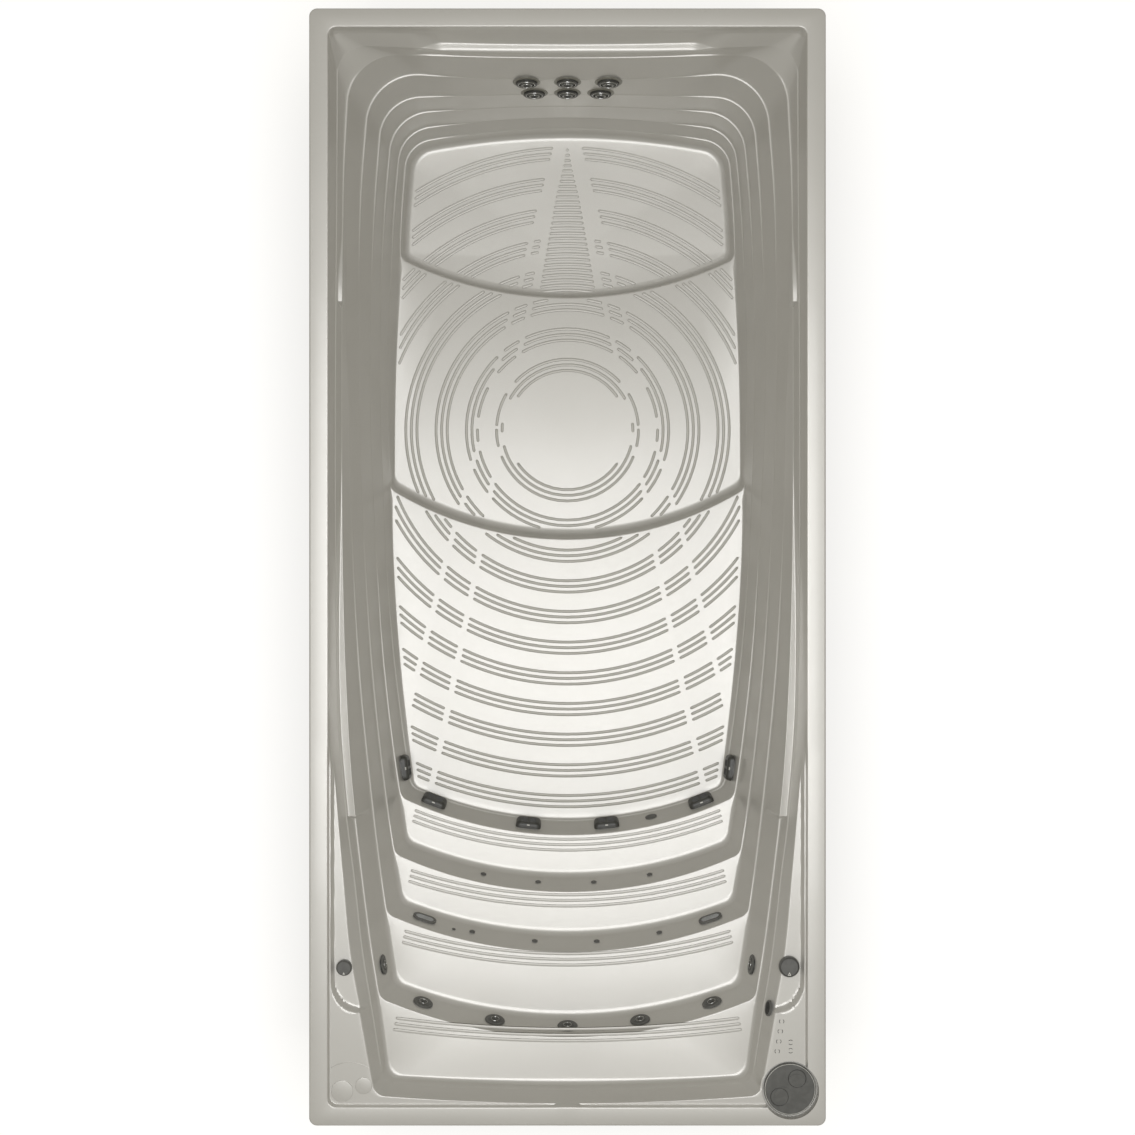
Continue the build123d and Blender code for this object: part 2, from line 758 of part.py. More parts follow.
def therapy_jet_face():
    """The turning face: a dished disc with its outlet and two finger grips."""
    outer = therapy_barrel_radius - therapy_wall - running_gap
    front = therapy_face_rise
    disc = turned((therapy_face_bore, front - therapy_flange_rise), (outer, front),
                  (outer, front - therapy_face_depth), (therapy_face_bore, front - therapy_face_depth))
    grip_width = outer - therapy_face_bore
    for side in (-1, 1):
        grip = Box(grip_width / 2, therapy_wall, therapy_flange_rise)
        disc += Pos(side * (outer + therapy_face_bore) / 2, 0, front) * grip
    return disc


def wall_fitting(head_radius, rise, barrel_radius, length, nut_edge):
    """A small round fitting: domed head, barrel and nut."""
    nut_top = -shell_wall + seat_sink
    nut_low = nut_top - min(nut_thickness, length / 2)
    return turned((0, rise), (head_radius / 2, rise), (head_radius, 0), (head_radius, -seat_sink),
                  (barrel_radius, -seat_sink), (barrel_radius, nut_top), (nut_edge, nut_top),
                  (nut_edge, nut_low), (barrel_radius, nut_low), (barrel_radius, -length),
                  (0, -length))


def suction_body():
    """Open box behind the wall with its flange and tail pipe."""
    flange = Pos(0, 0, -seat_sink) * extrude(
        RectangleRounded(suction_width, suction_height, suction_radius), seat_sink)
    width = suction_width - 2 * suction_body_inset
    height = suction_height - 2 * suction_body_inset
    radius = suction_radius - suction_body_inset
    box = Pos(0, 0, -suction_body_depth) * extrude(
        RectangleRounded(width, height, radius), suction_body_depth)
    space = Pos(0, 0, suction_wall - suction_body_depth) * extrude(
        RectangleRounded(width - 2 * suction_wall, height - 2 * suction_wall, radius - suction_wall),
        suction_body_depth + overrun)
    tail = rod(suction_tail_radius, -suction_body_depth - suction_tail_length, -suction_body_depth)
    bore = rod(suction_tail_radius - suction_wall, -suction_body_depth - suction_tail_length - overrun,
               -suction_body_depth + suction_wall + overrun)
    return flange + box + tail - space - bore


def suction_cover():
    """Louvred cover over the suction's flange."""
    cover = extrude(RectangleRounded(suction_width, suction_height, suction_radius), suction_rise,
                    taper=math.degrees(math.atan(suction_edge_slope)))
    inner = extrude(RectangleRounded(suction_width - 2 * suction_cover_margin - suction_rise,
                                     suction_height - 2 * suction_cover_margin - suction_rise,
                                     suction_radius - suction_cover_margin - suction_plate),
                    suction_rise - suction_plate)
    pitch = (suction_height - 2 * suction_radius) / (louvre_count - 1)
    slot = Box(suction_width - 2 * suction_radius, louvre_width, 2 * suction_rise + overrun)
    cuts = [Pos(0, (k - (louvre_count - 1) / 2) * pitch, 0) * slot for k in range(louvre_count)]
    return cover - inner - cuts


def step_light_bezel():
    rim = Pos(0, 0, -seat_sink) * oval_plate(light_width, light_height, seat_sink + light_rise)
    body_width = light_width - 2 * light_rim - 2 * seat_gap
    body_height = light_height - 2 * light_rim - 2 * seat_gap
    rim += Pos(0, 0, -light_depth) * oval_plate(body_width, body_height, light_depth)
    lens_seat = oval_plate(body_width - 2 * light_lens_rim, body_height - 2 * light_lens_rim,
                           light_rise + overrun)
    return rim - Pos(0, 0, light_rise - light_lens_thickness) * lens_seat


def step_light_lens():
    width = light_width - 2 * (light_rim + light_lens_rim) - 2 * seat_gap
    height = light_height - 2 * (light_rim + light_lens_rim) - 2 * seat_gap
    lens = oval_plate(width - 2 * seat_gap, height - 2 * seat_gap, light_lens_thickness)
    return Pos(0, 0, light_rise - light_lens_thickness) * lens


def valve_body():
    """Deck valve under a knob, with a bore for the knob's spindle."""
    low = -valve_length
    bore = spindle_radius + running_gap
    nut_top = -shell_wall
    return turned((bore, valve_flange_rise), (valve_flange_radius, valve_flange_rise),
                  (valve_flange_radius, 0), (valve_barrel_radius, 0), (valve_barrel_radius, nut_top),
                  (valve_nut_radius, nut_top), (valve_nut_radius, nut_top - valve_nut_thickness),
                  (valve_barrel_radius, nut_top - valve_nut_thickness), (valve_barrel_radius, low),
                  (0, low), (0, -spindle_length - valve_flange_rise),
                  (bore, -spindle_length - valve_flange_rise))


def knob(radius):
    """Domed cap, hollow below, with its spindle."""
    low = knob_skirt_gap
    top = low + knob_height
    under = top - knob_wall - knob_wall
    return turned((0, top), (radius * knob_top_share, top), (radius, top - knob_shoulder), (radius, low),
                  (radius - knob_wall, low), (radius - knob_wall, under), (spindle_radius, under),
                  (spindle_radius, -spindle_length), (0, -spindle_length))



def keypad_bezel():
    plate = keypad_prism(seat_gap, deck_height - keypad_thickness, deck_height)
    plate += keypad_prism(keypad_margin + seat_gap, deck_height - keypad_depth, deck_height)
    for x, y in zip(button_rows_x, button_rows_y):
        well_floor = deck_height + button_rise - button_head - button_travel - seat_gap
        plate -= Pos(x, y) * rod(button_radius + seat_gap, well_floor, deck_height + overrun)
        plate -= Pos(x, y) * rod(button_stem_radius + running_gap, deck_height - keypad_depth - overrun,
                                 deck_height)
    return plate


def keypad_button(x, y):
    top = deck_height + button_rise
    head = rod(button_radius, top - button_head, top)
    head += rod(button_stem_radius, top - button_head - button_stem_length, top - button_head)
    return Pos(x, y) * head


def filter_canister():
    top = overall_height - pocket_drop + canister_flange
    under = top - canister_flange
    low = under - canister_depth
    inner = canister_radius - canister_wall
    body = turned((inner, top), (canister_flange_radius, top), (canister_flange_radius, under),
                  (canister_radius, under), (canister_radius, low), (canister_tail_radius, low),
                  (canister_tail_radius, low - canister_tail_length),
                  (canister_tail_radius - canister_wall, low - canister_tail_length),
                  (canister_tail_radius - canister_wall, low + canister_wall), (inner, low + canister_wall))
    return Pos(filter_x, filter_y) * body


def filter_lid():
    base = overall_height - pocket_drop + canister_flange + seat_gap
    top = base + lid_thickness
    plug = canister_radius - canister_wall - seat_gap
    lid = turned((0, top), (lid_radius - lid_disc_rise, top), (lid_radius, top - lid_disc_rise),
                 (lid_radius, base), (plug, base), (plug, base - lid_plug_depth),
                 (plug - canister_wall, base - lid_plug_depth), (plug - canister_wall, base), (0, base))
    offset = lid_disc_offset / math.sqrt(2)
    for side in (-1, 1):
        lid += Pos(side * offset, side * offset) * rod(lid_disc_radius, top - lid_disc_rise,
                                                       top + lid_disc_rise)
    return Pos(filter_x, filter_y) * lid


def filter_cartridge():
    """Pleated cartridge standing on the canister's floor."""
    under = overall_height - pocket_drop
    low = under - canister_depth + canister_wall + seat_gap
    high = low + cartridge_length
    points = []
    for k in range(2 * pleat_count):
        angle = math.pi * k / pleat_count
        radius = cartridge_radius - (k % 2) * pleat_depth
        points.append((radius * math.cos(angle), radius * math.sin(angle)))
    pleats = Pos(0, 0, low) * extrude(make_face(Polyline(*points, close=True)), cartridge_length)
    caps = rod(cartridge_radius + cartridge_cap_rise, low, low + cartridge_cap)
    caps += rod(cartridge_radius + cartridge_cap_rise, high - cartridge_cap, high)
    return Pos(filter_x, filter_y) * (pleats + caps - rod(cartridge_bore, low - overrun, high + overrun))


panel_face_x = half_width - cabinet_inset
panel_face_y = half_length - cabinet_inset
panel_back_x = panel_face_x - panel_thickness
panel_back_y = panel_face_y - panel_thickness
panel_top = overall_height - panel_top_drop
access_top = overall_height - access_top_drop


def planked(panel, low, high, along_x, face):
    """Level grooves across a panel's outer face."""
    pitch = (high - low) / plank_count
    for k in range(1, plank_count):
        height = low + k * pitch
        if along_x:
            groove = Box(overall_width, 2 * groove_depth, groove_width)
            panel -= Pos(0, face, height) * groove
        else:
            groove = Box(2 * groove_depth, overall_length, groove_width)
            panel -= Pos(face, 0, height) * groove
    return panel


def side_panel(side):
    end = panel_face_y - post_width - panel_gap
    inner, outer = sorted((side * panel_back_x, side * panel_face_x))
    panel = box_between(inner, outer, -end, end, panel_bottom, panel_top)
    return planked(panel, panel_bottom, panel_top, False, side * panel_face_x)


def end_panel(side, top):
    end = panel_face_x - post_width - panel_gap
    gap = seat_gap if side == step_side else 0
    inner, outer = sorted((side * (panel_back_y + gap), side * panel_face_y))
    panel = box_between(-end, end, inner, outer, panel_bottom, top)
    return planked(panel, panel_bottom, top, True, side * panel_face_y)


def corner_posts():
    band = slab(2 * panel_face_x, 2 * panel_face_y, panel_bottom, panel_top, post_corner_radius)
    band -= box_between(-panel_back_x, panel_back_x, -panel_back_y, panel_back_y, 0, overall_height)
    open_x = panel_face_x - post_width
    open_y = panel_face_y - post_width
    band -= box_between(-open_x, open_x, -overall_length, overall_length, 0, overall_height)
    return band - box_between(-overall_width, overall_width, -open_y, open_y, 0, overall_height)


def panel_screws():
    """Screw heads on the panels, over the studs."""
    heads = []
    rows = (panel_bottom + (panel_top - panel_bottom) / (2 * plank_count),
            panel_top - (panel_top - panel_bottom) / (2 * plank_count))
    for side in (-1, 1):
        face = facing((side * panel_face_x, 0, 0), (side, 0, 0))
        for y in screw_y:
            for z in rows:
                place = Plane(origin=(side * panel_face_x, y, z), z_dir=face.z_dir)
                heads.append(place * rod(screw_radius, 0, screw_rise))
        for z in rows:
            place = Plane(origin=(side * end_stud_x, panel_face_y, z), z_dir=(0, 1, 0))
            heads.append(place * rod(screw_radius, 0, screw_rise))
    return heads


def base_pan():
    length_x = 2 * panel_back_x
    length_y = 2 * panel_back_y
    pan = slab(length_x, length_y, 0, pan_lip, post_corner_radius)
    return pan - slab(length_x - 2 * pan_thickness, length_y - 2 * pan_thickness, pan_thickness,
                      pan_lip + overrun, post_corner_radius - pan_thickness)


rail_top = floor_heights[0] - shell_wall
rail_face_x = panel_back_x - pan_thickness - seat_gap
rail_face_y = panel_back_y - pan_thickness - seat_gap


def base_frame():
    """Perimeter rails and cross rails standing on the pan."""
    inner_x = rail_face_x - rail_width
    inner_y = rail_face_y - rail_width
    chamfer_room = post_corner_radius
    frame = box_between(-rail_face_x + chamfer_room, rail_face_x - chamfer_room, -rail_face_y, rail_face_y,
                        pan_thickness, rail_top)
    frame += box_between(-rail_face_x, rail_face_x, -rail_face_y + chamfer_room, rail_face_y - chamfer_room,
                         pan_thickness, rail_top)
    frame -= box_between(-inner_x, inner_x, -inner_y, inner_y, 0, rail_top + overrun)
    for y in cross_rail_y:
        frame += box_between(-inner_x, inner_x, y - rail_width / 2, y + rail_width / 2,
                             pan_thickness, rail_top)
    return frame


def wall_studs():
    """Studs and top rails that carry the panels and the rim."""
    low = rail_top
    rail_low = overall_height - shell_wall - top_rail_height
    high = overall_height - shell_wall
    inner_x = panel_back_x - rail_width
    inner_y = panel_back_y - rail_width
    frame = box_between(-panel_back_x, panel_back_x, -panel_back_y, panel_back_y, rail_low, high)
    frame -= box_between(-inner_x, inner_x, -inner_y, inner_y, rail_low - overrun, high + overrun)
    for y in stud_y:
        for side in (-1, 1):
            low_x, high_x = sorted((side * inner_x, side * panel_back_x))
            frame += box_between(low_x, high_x, y - stud_width / 2, y + stud_width / 2, low, rail_low)
    for side in (-1, 1):
        x = side * end_stud_x
        frame += box_between(x - stud_width / 2, x + stud_width / 2, inner_y, panel_back_y, low, rail_low)
    clear = pocket_radius + shell_wall + seat_gap
    frame -= Pos(filter_x, filter_y) * rod(clear, rail_low - overrun, high + overrun)
    return frame - box_between(filter_x, half_width, -half_length, filter_y,
                               rail_low - overrun, high + overrun)


def step_supports():
    """Beams below floors 2 and 3 and posts below the four treads."""
    parts = []
    for height, rows in ((floor_heights[1], floor_2_beam_y), (floor_heights[2], floor_3_beam_y)):
        for y in rows:
            parts.append(box_between(-floor_beam_half_length, floor_beam_half_length,
                                     y - rail_width / 2, y + rail_width / 2, rail_top, height - shell_wall))
    for height, x, y in zip(tread_heights, tread_post_x, tread_post_y):
        half = tread_post_width / 2
        for side in (-1, 1):
            parts.append(box_between(side * x - half, side * x + half, y - half, y + half,
                                     rail_top, height - shell_wall))
    return parts


pump_axis_z = rail_top + pump_axis_rise
volute_front_y = motor_front_y + volute_length


def along_y(part, x, y, z):
    """Turns a piece made round Z so that its Z runs towards +Y."""
    return Plane(origin=(x, y, z), x_dir=(1, 0, 0), z_dir=(0, 1, 0)) * part


def pump_motor(x):
    """Motor casing with its bore, end bell and foot."""
    bore = shaft_radius + running_gap
    casing = turned((bore, 0), (motor_radius, 0), (motor_radius, motor_end_cap - motor_length),
                    (motor_radius - motor_end_cap, -motor_length), (0, -motor_length),
                    (0, motor_end_cap - motor_length), (bore, motor_end_cap - motor_length))
    casing = along_y(casing, x, motor_front_y, pump_axis_z)
    for y in motor_rail_y:
        foot = box_between(x - motor_foot_width / 2, x + motor_foot_width / 2,
                           y - rail_width / 2, y + rail_width / 2, rail_top, pump_axis_z - motor_foot_drop)
        casing += foot - along_y(rod(motor_radius - motor_foot_thickness, -overall_length, overall_length),
                                 x, motor_front_y, pump_axis_z)
    return casing


def wet_end(x):
    """Volute with its suction port towards the basin and its discharge upwards."""
    front = volute_length
    inner = volute_radius - volute_wall
    bore = shaft_radius + running_gap
    volute = turned((bore, 0), (volute_radius, 0), (volute_radius, front - volute_wall),
                    (volute_radius - volute_wall, front), (port_radius, front),
                    (port_radius, front + port_length), (port_radius - port_wall, front + port_length),
                    (port_radius - port_wall, front - volute_wall), (inner, front - volute_wall),
                    (inner, volute_wall), (bore, volute_wall))
    volute = along_y(volute, x, motor_front_y, pump_axis_z)
    middle_y = motor_front_y + volute_length / 2
    top = pump_axis_z + volute_radius + discharge_rise
    place = Pos(x + discharge_offset, middle_y)
    spout = place * rod(port_radius, pump_axis_z, top)
    inside = along_y(rod(inner, volute_wall, front - volute_wall), x, motor_front_y, pump_axis_z)
    spout -= inside
    spout -= place * rod(port_radius - port_wall, pump_axis_z - overrun, top + overrun)
    cut = place * rod(port_radius - port_wall, pump_axis_z, top + overrun)
    return volute - cut + spout


def pump_rotor(x):
    """Shaft with its impeller."""
    room = volute_length - 2 * volute_wall
    start = volute_wall + (room - impeller_thickness) / 2
    rotor = rod(shaft_radius, 2 * motor_end_cap - motor_length, start)
    rotor += rod(impeller_radius, start, start + impeller_thickness)
    return along_y(rotor, x, motor_front_y, pump_axis_z)


def pipe(radius, *points):
    """Round pipe along straight runs with mitred elbows."""
    path = Polyline(*points)
    profile = Plane(origin=path @ 0, z_dir=path % 0) * Circle(radius)
    return sweep(profile, path=path, transition=Transition.RIGHT)


def straight_pipe(radius, start, end):
    length = (Vector(*end) - Vector(*start)).length
    direction = (Vector(*end) - Vector(*start)).normalized()
    return Plane(origin=start, z_dir=direction) * rod(radius, 0, length)


def tail_points(port, length):
    """The end of a fitting's tail and a point a little further along it."""
    return port.origin - port.z_dir * length, port.origin - port.z_dir * (length + tail_stub)


def suction_pipes():
    """Header that joins the six suctions, with a run to each pump."""
    height = pump_axis_z
    y = suction_header_y
    half = suction_header_half
    pipes = straight_pipe(pipe_radius, (-half, y, height), (half, y, height))
    for x in pump_x:
        pipes += straight_pipe(pipe_radius, (x, volute_front_y + port_length, height), (x, y, height))
    for port in suction_riser_ports:
        end, stub = tail_points(port, suction_body_depth + suction_tail_length)
        pipes += pipe(branch_radius, end, stub, (stub.X, y, stub.Z), (stub.X, y, height))
    for port, side in zip(suction_side_ports, (-1, 1)):
        end, stub = tail_points(port, suction_body_depth + suction_tail_length)
        far = side * suction_riser_x
        pipes += pipe(branch_radius, end, stub, (far, stub.Y, stub.Z), (far, y, stub.Z),
                      (far, y, height), (side * half, y, height))
    canister_low = overall_height - pocket_drop - canister_depth - canister_tail_length
    pipes += pipe(branch_radius, (filter_x, filter_y, canister_low),
                  (filter_x, filter_y, height), (filter_x, canister_join_y, height),
                  (pump_x[2], canister_join_y, height))
    return pipes


def jet_pipes():
    """Runs from the outer pumps along the sides to the two headers behind the swim jets."""
    parts = []
    discharge_top = pump_axis_z + volute_radius + discharge_rise
    y = motor_front_y + volute_length / 2
    wall_y = half_length - jet_pipe_inset
    for x, side, height, ports in ((pump_x[0], -1, swim_jet_upper_z, upper_swim_ports),
                                   (pump_x[2], 1, swim_jet_lower_z, lower_swim_ports)):
        start_x = x + discharge_offset
        far = side * side_pipe_x
        run = pipe(pipe_radius,
                   (start_x, y, discharge_top), (start_x, y, pressure_turn_height),
                   (far, y, pressure_turn_height), (far, y, side_pipe_height),
                   (far, wall_y, side_pipe_height), (side * jet_riser_x, wall_y, side_pipe_height),
                   (side * jet_riser_x, wall_y, height), (-side * jet_header_half, wall_y, height))
        for port in ports:
            end, stub = tail_points(port, swim_jet_depth + swim_jet_tail_length)
            run += pipe(branch_radius, end, stub, (stub.X, wall_y, height))
        parts.append(run)
    return parts


def therapy_pipes():
    """Header behind the top riser with a branch to every therapy jet."""
    discharge_top = pump_axis_z + volute_radius + discharge_rise
    y = motor_front_y + volute_length / 2
    x = pump_x[1] + discharge_offset
    height = therapy_jet_z
    half = therapy_header_half
    run = pipe(pipe_radius, (x, y, discharge_top), (x, y, therapy_turn_height),
               (x, therapy_header_y, therapy_turn_height), (x, therapy_header_y, height))
    run += straight_pipe(pipe_radius, (-half, therapy_header_y, height),
                         (half, therapy_header_y, height))
    for port in therapy_riser_ports:
        end, stub = tail_points(port, therapy_depth + therapy_tail_length)
        run += pipe(therapy_tail_radius, end, stub, (stub.X, therapy_header_y, height))
    for port, side in zip(therapy_side_ports, (-1, 1)):
        end, stub = tail_points(port, therapy_depth + therapy_tail_length)
        far = side * therapy_riser_x
        turn_y = therapy_side_run_y
        run += pipe(therapy_tail_radius, end, stub, (far, stub.Y, stub.Z),
                    (far, turn_y, stub.Z), (side * half, turn_y, height),
                    (side * half, therapy_header_y, height))
    return run


def control_box():
    low = rail_top
    body = box_between(box_x - box_length / 2, box_x + box_length / 2, box_y - box_depth / 2,
                       box_y + box_depth / 2, low, low + box_height)
    lid = box_between(box_x - box_length / 2 - box_lid / 2, box_x + box_length / 2 + box_lid / 2,
                      box_y - box_depth / 2 - box_lid, box_y - box_depth / 2,
                      low + box_lid, low + box_height)
    return body + lid


def heater():
    """Heater tube on two saddles on top of the control box."""
    low = rail_top + box_height
    height = low + heater_saddle + heater_radius
    start = (box_x - heater_length / 2, box_y, height)
    end = (box_x + heater_length / 2, box_y, height)
    tube = straight_pipe(heater_radius, start, end)
    for side in (-1, 1):
        x = box_x + side * heater_saddle_x
        tube += box_between(x - heater_saddle, x + heater_saddle, box_y - heater_radius,
                            box_y + heater_radius, low, height)
    return tube


def panel_outside(side, y, z, rise):
    """Plane at a side panel's outer face, raised from it, facing outwards."""
    return Plane(origin=(side * (panel_face_x + rise), y, z), z_dir=(side, 0, 0))



def drain_parts():
    """The spigot stands proud of the panel, and a twist collar turns round its end."""
    outer = drain_radius + drain_wall
    spigot = turned((drain_radius, drain_rise), (outer, drain_rise), (outer, drain_flange),
                    (drain_flange_radius, drain_flange), (drain_flange_radius, 0), (outer, 0),
                    (outer, -drain_length), (drain_radius, -drain_length))
    low = drain_flange + seat_gap
    bore = outer + running_gap
    collar = turned((bore, low), (collar_radius, low), (collar_radius, drain_rise - collar_edge),
                    (collar_radius - collar_edge, drain_rise), (bore, drain_rise))
    place = panel_outside(-1, drain_y, drain_height, 0)
    return place * spigot, place * collar


def cable_gland():
    """Gland that a power cable would enter by, through the right panel."""
    gland = turned((gland_bore, gland_rise), (gland_radius, gland_rise),
                   (gland_radius, gland_flange), (gland_flange_radius, gland_flange),
                   (gland_flange_radius, 0), (gland_radius, 0), (gland_radius, -gland_length),
                   (gland_bore, -gland_length))
    return panel_outside(1, gland_y, gland_height, 0) * gland


def side_panel_with_hole(side, y, z, radius):
    hole = rod(radius + seat_gap, -half_width, overrun)
    return side_panel(side) - panel_outside(side, y, z, 0) * hole


def save(name, *shapes):
    """Writes one node's solids as one STEP file."""
    solids = []
    for shape in shapes:
        if isinstance(shape, (list, tuple)):
            solids += [solid for item in shape for solid in item.solids()]
        else:
            solids += shape.solids()
    compound = Compound(label=name, children=solids) if len(solids) > 1 else solids[0]
    export_step(compound, os.path.join("parts", name + ".step"))
    print(name, len(solids))


def main():
    os.makedirs("parts", exist_ok=True)
    save("shell", shell())
    save("base_pan", base_pan())
    save("base_frame", base_frame())
    save("wall_studs", wall_studs())
    save("step_supports", step_supports())
    save("side_panel_left", side_panel_with_hole(-1, drain_y, drain_height, drain_radius + drain_wall))
    save("side_panel_right", side_panel_with_hole(1, gland_y, gland_height, gland_radius))
    save("jet_end_panel", end_panel(jet_side, panel_top))
    save("access_panel", end_panel(step_side, access_top))
    save("corner_posts", corner_posts())
    save("panel_screws", panel_screws())
    save("swim_jet_bodies", [port * swim_jet_body() for port in swim_jet_ports])
    save("therapy_jet_bodies", [port * therapy_jet_body() for port in therapy_ports])
    save("air_injectors", [port * wall_fitting(injector_head_radius, injector_head_rise,
                                               injector_barrel_radius, injector_length,
                                               injector_nut_radius) for port in injector_ports])
    save("water_sensor", sensor_port * wall_fitting(sensor_radius, seat_sink, sensor_barrel_radius,
                                                    injector_length, sensor_radius))
    save("return_fitting", return_port * wall_fitting(return_radius, injector_head_rise,
                                                      fitting_barrel_radius, injector_length,
                                                      return_radius))
    save("overflow_fitting", overflow_port * wall_fitting(overflow_radius, injector_head_rise,
                                                          fitting_barrel_radius, injector_length,
                                                          return_radius))
    save("suction_bodies", [port * suction_body() for port in suction_ports])
    save("suction_covers", [port * suction_cover() for port in suction_ports])
    save("step_light_bezels", [port * step_light_bezel() for port in light_ports])
    save("step_light_lenses", [port * step_light_lens() for port in light_ports])
    valves = [Pos(air_knob_x, air_knob_y, knob_deck_height) * valve_body(),
              Pos(diverter_knob_x, diverter_knob_y, knob_deck_height) * valve_body()]
    save("deck_valves", valves)
    knob_base = knob_deck_height + valve_flange_rise
    save("air_knob", Pos(air_knob_x, air_knob_y, knob_base) * knob(air_knob_radius))
    save("diverter_knob", Pos(diverter_knob_x, diverter_knob_y, knob_base) * knob(diverter_knob_radius))
    save("keypad_bezel", keypad_bezel())
    save("filter_canister", filter_canister())
    save("filter_lid", filter_lid())
    save("filter_cartridge", filter_cartridge())
    save("pump_motors", [pump_motor(x) for x in pump_x])
    save("pump_wet_ends", [wet_end(x) for x in pump_x])
    save("suction_pipes", suction_pipes())
    save("jet_pipes", jet_pipes())
    save("therapy_pipes", therapy_pipes())
    save("control_box", control_box())
    save("heater", heater())
    spigot, collar = drain_parts()
    save("drain_spigot", spigot)
    save("drain_collar", collar)
    save("cable_gland", cable_gland())
    for number, port in enumerate(swim_jet_ports, 1):
        save(f"swim_jet_nozzle_{number}", port * swim_jet_nozzle())
    for number, port in enumerate(therapy_ports, 1):
        save(f"therapy_jet_face_{number}", port * therapy_jet_face())
    for number, (x, y) in enumerate(zip(button_rows_x, button_rows_y), 1):
        save(f"keypad_button_{number}", keypad_button(x, y))
    for number, x in enumerate(pump_x, 1):
        save(f"pump_rotor_{number}", pump_rotor(x))


main()
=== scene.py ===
import json
import math

import bmesh
import bpy
import numpy as np
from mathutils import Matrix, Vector


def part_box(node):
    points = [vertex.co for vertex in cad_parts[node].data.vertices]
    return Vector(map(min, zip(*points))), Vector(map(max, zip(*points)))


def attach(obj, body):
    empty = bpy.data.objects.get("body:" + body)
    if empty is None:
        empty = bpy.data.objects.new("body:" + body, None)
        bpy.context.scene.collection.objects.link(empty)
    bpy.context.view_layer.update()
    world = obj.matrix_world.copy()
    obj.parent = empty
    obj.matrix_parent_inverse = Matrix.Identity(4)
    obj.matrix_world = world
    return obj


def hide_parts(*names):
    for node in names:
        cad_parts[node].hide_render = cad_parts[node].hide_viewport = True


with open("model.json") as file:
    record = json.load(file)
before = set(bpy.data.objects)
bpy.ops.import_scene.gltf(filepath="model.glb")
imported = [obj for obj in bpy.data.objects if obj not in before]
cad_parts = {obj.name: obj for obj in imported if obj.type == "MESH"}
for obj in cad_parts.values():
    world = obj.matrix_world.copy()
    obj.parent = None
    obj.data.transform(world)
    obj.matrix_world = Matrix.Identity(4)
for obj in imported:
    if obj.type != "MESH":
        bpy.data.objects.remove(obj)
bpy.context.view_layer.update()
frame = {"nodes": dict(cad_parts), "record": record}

# A swim spa seen from straight above. Metres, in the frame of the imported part:
# +Y towards the swim jets, -Y towards the entry steps, the ground at 0.

# Overall sizes
half_width = 1.170
half_length = 2.530
rim_top = 1.320
rim_width = 0.085
rim_outer_corner = 0.036
rim_inner_corner = 0.039
skirt_bottom = 1.240
shell_wall = 0.008
skirt_wall = 0.006
basin_half_width = half_width - rim_width
basin_half_length = half_length - rim_width

# Heights of the floors, the treads and the decks
floor_heights = (0.090, 0.200, 0.310)
tread_heights = (0.510, 0.710, 0.910, 1.110)
deck_height = 1.290
knob_deck_height = 1.255
knob_field_x = 0.955
knob_field_y = -1.875
knob_field_half_width = 0.110
knob_field_half_length = 0.135
knob_field_step = (1.0, 1.11)
rail_height = 1.185

# Photograph's camera
camera_height = 8.820
camera_y = -0.0023
focal_share = 1657.0 / 1135.0
sensor_width = 36.0

# Side lines of the basin's ledges as (y, x), from the jet wall to the steps
side_lines = {
    "floor": ((2.10, 0.826), (1.80, 0.850), (1.55, 0.857)),
    "ledge_1": ((2.10, 0.838), (1.80, 0.861), (1.55, 0.872), (1.40, 0.880), (1.00, 0.897),
                (0.60, 0.903), (0.30, 0.903)),
    "ledge_2": ((2.10, 0.862), (1.80, 0.889), (1.40, 0.910), (1.00, 0.921), (0.60, 0.916),
                (0.35, 0.908), (0.00, 0.897), (-0.50, 0.862), (-1.00, 0.803), (-1.14, 0.783)),
    "ledge_3": ((2.10, 0.885), (1.80, 0.912), (1.40, 0.934), (1.00, 0.940), (0.50, 0.931),
                (0.00, 0.914), (-0.50, 0.878), (-1.00, 0.817), (-1.14, 0.796)),
    "ledge_4": ((2.10, 0.915), (1.80, 0.939), (1.40, 0.959), (1.00, 0.967), (0.50, 0.959),
                (0.00, 0.940), (-0.50, 0.910), (-1.00, 0.856), (-1.20, 0.826), (-1.42, 0.789)),
    "ledge_5": ((2.10, 0.958), (1.80, 0.982), (1.40, 0.995), (1.00, 0.997), (0.50, 0.990),
                (0.00, 0.972), (-0.50, 0.943), (-1.00, 0.897), (-1.40, 0.844), (-1.66, 0.797)),
    "ledge_6": ((2.10, 0.985), (1.80, 1.006), (1.40, 1.019), (1.00, 1.023), (0.50, 1.020),
                (0.00, 1.007), (-0.50, 0.981), (-1.00, 0.938), (-1.40, 0.894), (-1.80, 0.839),
                (-2.00, 0.808)),
    "ledge_7": ((2.20, 1.020), (1.80, 1.040), (1.40, 1.046), (1.00, 1.049), (0.50, 1.049),
                (0.00, 1.045), (-0.50, 1.031), (-1.00, 1.001), (-1.40, 0.957), (-1.80, 0.905),
                (-2.05, 0.866), (-2.35, 0.828)),
    "rail": ((2.30, 1.059), (-0.40, 1.059), (-0.75, 1.050), (-1.00, 1.030), (-1.20, 1.010),
             (-1.40, 0.984), (-1.80, 0.938), (-2.05, 0.897), (-2.35, 0.850)),
    "deck_edge": ((2.30, 1.080), (-0.60, 1.080), (-0.80, 1.075), (-1.00, 1.059), (-1.40, 1.024),
                  (-1.80, 0.984), (-2.05, 0.938), (-2.35, 0.884)),
}
